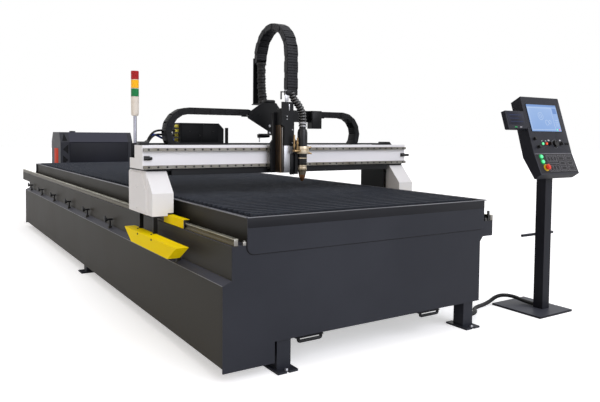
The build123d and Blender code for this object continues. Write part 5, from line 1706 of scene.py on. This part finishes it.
    def add_fittings(self) -> None:
        """Screw the gas and coolant fittings on both sides of the torch."""
        fittings = Shape("torch_fittings")
        for foot in self.fitting_feet:
            fittings.turned(foot, UP, self.fitting_up, 12)
            fittings.turned(foot, DOWN, self.fitting_down, 12)
        fittings.turned((1046, 838, 1152), (0.9, -0.2, 0.4), self.stub_steps, 12)
        fittings.turned((1040, 826, 1122), (0.9, -0.3, -0.2), self.stub_steps, 12)
        fittings.box((920, 808, 1128), (966, 842, 1142), 3.0)
        fittings.done(BRASS, "torch_lift")

    def add_hoses(self) -> None:
        """Run the ribbed torch hose and clamp its lower end."""
        steps, radii, _ = ribbed_line(self.hose_route, self.hose_radius, self.rib_pitch, self.rib_depth)
        hose = Shape("torch_hose_ribbed", Matrix.Identity(4)).tube(steps, radii, 24)
        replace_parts(hose.done(HOSE_RUBBER, "torch_lift", "hose_rubber", 50.0), "torch_hose")
        bands = Shape("torch_hose_bands")
        for z in self.band_levels:
            bands.turned((1006.5, 845.5, z), (0.1, 0.02, 1), self.hose_band)
        bands.done(PALE_PLASTIC, "torch_lift")


class Panel(Enum):
    """The two sloping panels of the console head: top edge and bottom edge as Y and Z."""

    SCREEN = ((86.0, 1530.0), (-40.0, 1137.0))
    KEYS = ((-40.0, 1137.0), (-105.0, 990.0))

    def place(self, across: float, drop: float) -> Matrix:
        """Frame on the panel, with X across, Y up the slope and Z towards the operator.

        Args:
            across: Distance from the left edge of the head.
            drop: Distance down from the panel's top edge.

        Returns:
            Matrix from mm on the panel to the row frame.
        """
        (top_y, top_z), (low_y, low_z) = self.value
        up = Vector((0, top_y - low_y, top_z - low_z)).normalized()
        across_way = Vector(RIGHT)
        out = across_way.cross(up)
        foot = Vector((Console.head_x + across, top_y, top_z)) - up * drop
        return DATUM @ Matrix.Translation(foot) @ Matrix((across_way, up, out)).transposed().to_4x4()


@dataclass
class Console:
    """Screen page, keys, lamps and bezels on the console head."""

    head_x: float = 2330.0
    page_at: Pair = (205.0, 157.0)
    page_size: Pair = (334.0, 199.0)
    page_line: float = 1.8
    controls_drop: float = 348.0
    # Place across, distance down, inner and outer radius of each bezel
    bezels: tuple[tuple[float, float, float, float], ...] = (
        (121, 348, 9, 13), (163, 348, 9, 13), (198, 348, 13.6, 17), (263, 348, 22.6, 27), (328, 348, 0, 15),
        (43, 311, 0, 13), (64, 370, 0, 14))
    lamp_steps: Pairs = ((0, -1), (9.4, -1), (9.4, 6), (8, 9), (4.5, 10.6), (0, 11))
    knob_steps: Pairs = ((0, 0), (12.5, 0), (12.5, 9), (11, 11), (0, 11))
    socket_steps: Pairs = ((0, 0), (9.5, 0), (9.5, 4), (8, 6), (5, 6), (4.6, 2), (0, 2))
    tick_steps: Pairs = ((0, 0), (1.3, 0), (1.3, 0.9), (0, 0.9))
    button_steps: Pairs = ((12.6, -1), (19.5, -1), (19.5, 3), (18, 5), (12.6, 5), (12.6, -1))
    stop_steps: Pairs = ((10.6, -1), (25, -1), (25, 4.6), (23, 6.6), (10.6, 6.6), (10.6, -1))
    # Left, lower, right and upper edge of each group of keys
    key_fields: tuple[tuple[float, float, float, float], ...] = (
        (118, -70, 232, -20), (118, -140, 232, -82), (246, -140, 318, -20), (332, -140, 410, -20))

    def build(self) -> None:
        """Dress both panels and the side box."""
        self.add_page()
        self.add_side_display()
        self.add_upper_controls()
        self.add_keys()

    def add_page(self) -> None:
        """Light the screen with a plain drawing page."""
        half_x, half_y = self.page_size[0] / 2, self.page_size[1] / 2
        place = Panel.SCREEN.place(*self.page_at)
        page = Shape("screen_page", place).box((-half_x, -half_y, 3.6), (half_x, half_y, 4.4), 0.2)
        page.done(SCREEN_PAGE, "table")
        bar = Shape("screen_bars", place)
        bar.box((-half_x, half_y - 14, 4.3), (half_x, half_y, 4.6))
        bar.box((half_x - 52, half_y - 66, 4.3), (half_x - 8, half_y - 24, 4.6))
        bar.done(SCREEN_BAR, "table")
        lines = Shape("screen_drawing", place)
        for x, y, radius in ((-34.0, 14.0, 26.0), (-34.0, 14.0, 9.0), (24.0, -34.0, 18.0), (58.0, -30.0, 12.0)):
            outer = radius + self.page_line
            lines.turned((x, y, 4.35), UP, ((radius, 0), (outer, 0), (outer, 0.3), (radius, 0.3), (radius, 0)), 36)
        for y in (-half_y + 12, half_y - 24):
            lines.box((-half_x + 10, y, 4.3), (half_x - 64, y + self.page_line, 4.65))
        for x in (-half_x + 10, half_x - 66):
            lines.box((x, -half_y + 12, 4.3), (x + self.page_line, half_y - 24, 4.65))
        for i in range(4):
            lines.box((half_x - 50, -16 - i * 14, 4.3), (half_x - 10, -14.4 - i * 14, 4.65))
        lines.done(SCREEN_LINE, "table")
        for name, finish, inset in (("screen_start_mark", GREEN_GLOW, 46), ("screen_stop_mark", RED_GLOW, 18)):
            mark = Shape(name, place)
            mark.turned((half_x - inset, -half_y + 12, 4.3), UP, ((0, 0), (6, 0), (6, 0.5), (0, 0.5)), 20)
            mark.done(finish, "table")

    def add_side_display(self) -> None:
        """Fit the dark display and its lamps in the side box."""
        place = Panel.SCREEN.place(-100, 175)
        Shape("side_display", place).box((-86, -34, -0.6), (88, 54, 0.9), 0.6).done(SIDE_GLASS, "table")
        marks = Shape("side_display_rows", place)
        for i, wide in enumerate((120.0, 96.0, 132.0)):
            marks.box((-62, 34 - i * 24, 0.7), (-62 + wide, 37 - i * 24, 1.1))
        marks.done(SIDE_ROW, "table")
        for name, finish, left, wide in (("side_display_lamp", GREEN_COLLAR, -34, 26),
                                         ("side_display_key", PANEL_LINE, 20, 22)):
            Shape(name, place).box((left, -56, -0.5), (left + wide, -48, 2.0), 1.5).done(finish, "table")

    def add_upper_controls(self) -> None:
        """Fit lamps, bezels, the second knob and the sockets below the screen."""
        flat = Panel.SCREEN.place(0, 0)
        row = -self.controls_drop
        bezels = Shape("control_bezels", flat)
        for across, drop, inner, outer in self.bezels:
            ring = ((inner, -1), (outer, -1), (outer, 1.6), (outer - 1, 2.4), (inner, 2.4))
            bezels.turned((across, -drop, 0), UP, (*ring, (inner, -1)) if inner else ring, 32)
        bezels.done(KNOB_BLACK, "table", "knob_plastic")
        for name, finish, across in (("run_lamp", GREEN_GLOW, 121), ("fault_lamp", RED_GLOW, 163)):
            Shape(name, flat).turned((across, row, 0), UP, self.lamp_steps).done(finish, "table")
        knobs = Shape("fixed_knobs", flat).turned((328, row, 1), UP, self.knob_steps)
        knobs.box((324, row - 11, 11.5), (332, row + 11, 21), 1.5)
        for across, drop, high in ((43, 311, 16), (64, 370, 20)):
            knobs.turned((across, -drop, 1), UP, ((0, 0), (10.5, 0), (10.5, high), (9, high + 2), (0, high + 2)), 24)
        for across in (389.2, 410.8):
            knobs.turned((across, row, -1), UP, self.socket_steps, 24)
        knobs.done(KNOB_BLACK, "table", "knob_plastic")
        plates = Shape("knob_plates", flat)
        for across in (198, 328):
            plates.box((across - 9, row + 21, -0.4), (across + 9, row + 30, 0.9), 0.5)
        for across in (121, 163):
            plates.box((across - 6, row + 19, -0.4), (across + 6, row + 24, 0.9), 0.5)
        for tick in round_places((263, row), 31, 12):
            plates.turned((*tick, -0.4), UP, self.tick_steps, 8)
        plates.done(PALE_PLASTIC, "table")

    def add_keys(self) -> None:
        """Print the membrane keys on the lower panel, draw a painted highlight along its top fold, and fit the bezels
        of its buttons.
        """
        flat = Panel.KEYS.place(0, 0)
        Shape("key_overlay", flat).box((10, -152, -0.4), (422, -8, 0.5), 0.2).done(PANEL_FILM, "table")
        rims = Shape("button_bezels", flat)
        for drop in (31, 68):
            rims.turned((60, -drop, 0), UP, self.button_steps)
        rims.done(GREEN_COLLAR, "table")
        Shape("stop_base", flat).turned((78, -112, 0), UP, self.stop_steps, 36).done(STOP_YELLOW, "table")
        lines = Shape("key_outlines_and_fold_highlight", flat)
        for field in self.key_fields:
            self.add_outline(lines, *field, 1.3)
        for column in range(3):
            left = 126 + column * 35
            self.add_outline(lines, left, -62, left + 28, -30, 1.0)
            self.add_outline(lines, left, -132, left + 28, -94, 1.0)
        for row in range(3):
            self.add_outline(lines, 256, -130 + row * 36, 308, -104 + row * 36, 1.0)
            self.add_outline(lines, 344, -130 + row * 36, 398, -104 + row * 36, 1.0)
        # Pale line along the fold between the panels: painted highlight in the pale ink
        lines.box((12, -9, 0.4), (420, -7, 0.75))
        lines.done(PANEL_LINE, "table")

    def add_outline(self, shape: Shape, left: float, low: float, right: float, high: float, width: float) -> None:
        """Draw a rectangle of printed lines on a panel.

        Args:
            shape: Piece that takes the lines.
            left: Left edge.
            low: Lower edge.
            right: Right edge.
            high: Upper edge.
            width: Width of a line.
        """
        for a, b in (((left, low), (right, low + width)), ((left, high - width), (right, high)),
                     ((left, low + width), (left + width, high - width)),
                     ((right - width, low + width), (right, high - width))):
            shape.box((*a, 0.4), (*b, 0.75))


@dataclass
class PowerSource:
    """Trim on the power source behind the table."""

    left: float = 564.0
    front_y: float = 6600.0
    shoulder_z: float = 1107.0
    top_z: float = 1250.0
    slope: float = 100.0
    rear_y: float = 7240.0
    vent_z: float = 300.0
    vent_pitch: float = 40.0
    vent_rows: int = 9

    def build(self) -> None:
        """Add the coloured side panel, black liners behind the windows, door lines, lifting knob and vents."""
        panel = Shape("power_side_panel").box((self.left - 2.5, 6762, 300), (self.left + 1, 7028, 1012), 1.0)
        panel.done(ACCENT_ORANGE, "table")
        liner = Shape("power_window_liner").box((570, self.front_y + 8, 100), (684, self.front_y + 12, 1098), 0.5)
        liner.box((570, self.rear_y - 12, 100), (684, self.rear_y - 8, 1098), 0.5)
        rise = self.top_z - self.shoulder_z
        corners = [(x, self.front_y + self.slope * s - 1.2, self.shoulder_z + rise * s)
                   for x, s in ((590.0, 0.1), (664.0, 0.1), (627.0, 0.9))]
        liner.plate(corners, (0, 2.4, 0))
        liner.done(BOX_COAT, "table")
        trim = Shape("power_trim")
        trim.box((700, self.front_y - 3, 560), (1536, self.front_y + 2, 1092), 2.0)
        trim.box((700, self.front_y - 3, 60), (1536, self.front_y + 2, 548), 2.0)
        trim.turned((772, 6800, self.top_z), UP, ((0, 0), (43, 0), (43, 13), (38, 17), (0, 19)), 32)
        trim.done(CABINET_COAT, "table", "cabinet_coat")
        vents = Shape("power_vents")
        for i in range(self.vent_rows):
            z = self.vent_z + i * self.vent_pitch
            vents.box((1552, self.front_y - 3, z), (1606, self.front_y + 1, z + 18), 1.5)
            vents.box((760, self.rear_y - 2, z), (1480, self.rear_y + 3, z + 18), 1.5)
        vents.done(KNOB_BLACK, "table")


def main() -> None:
    """Build the sub-assemblies in order."""
    logging.basicConfig(level=logging.INFO, format="%(name)s: %(message)s")
    Studio().build()
    ConsoleConduit().build()
    BoxLeads().build()
    dress_frame()
    for part in (Table(), Gantry(), EnergyChains(), Carriage(), Torch(), Console(), PowerSource()):
        LOG.info("sub-assembly %s", type(part).__name__)
        part.build()


if __name__ == "__main__":
    main()
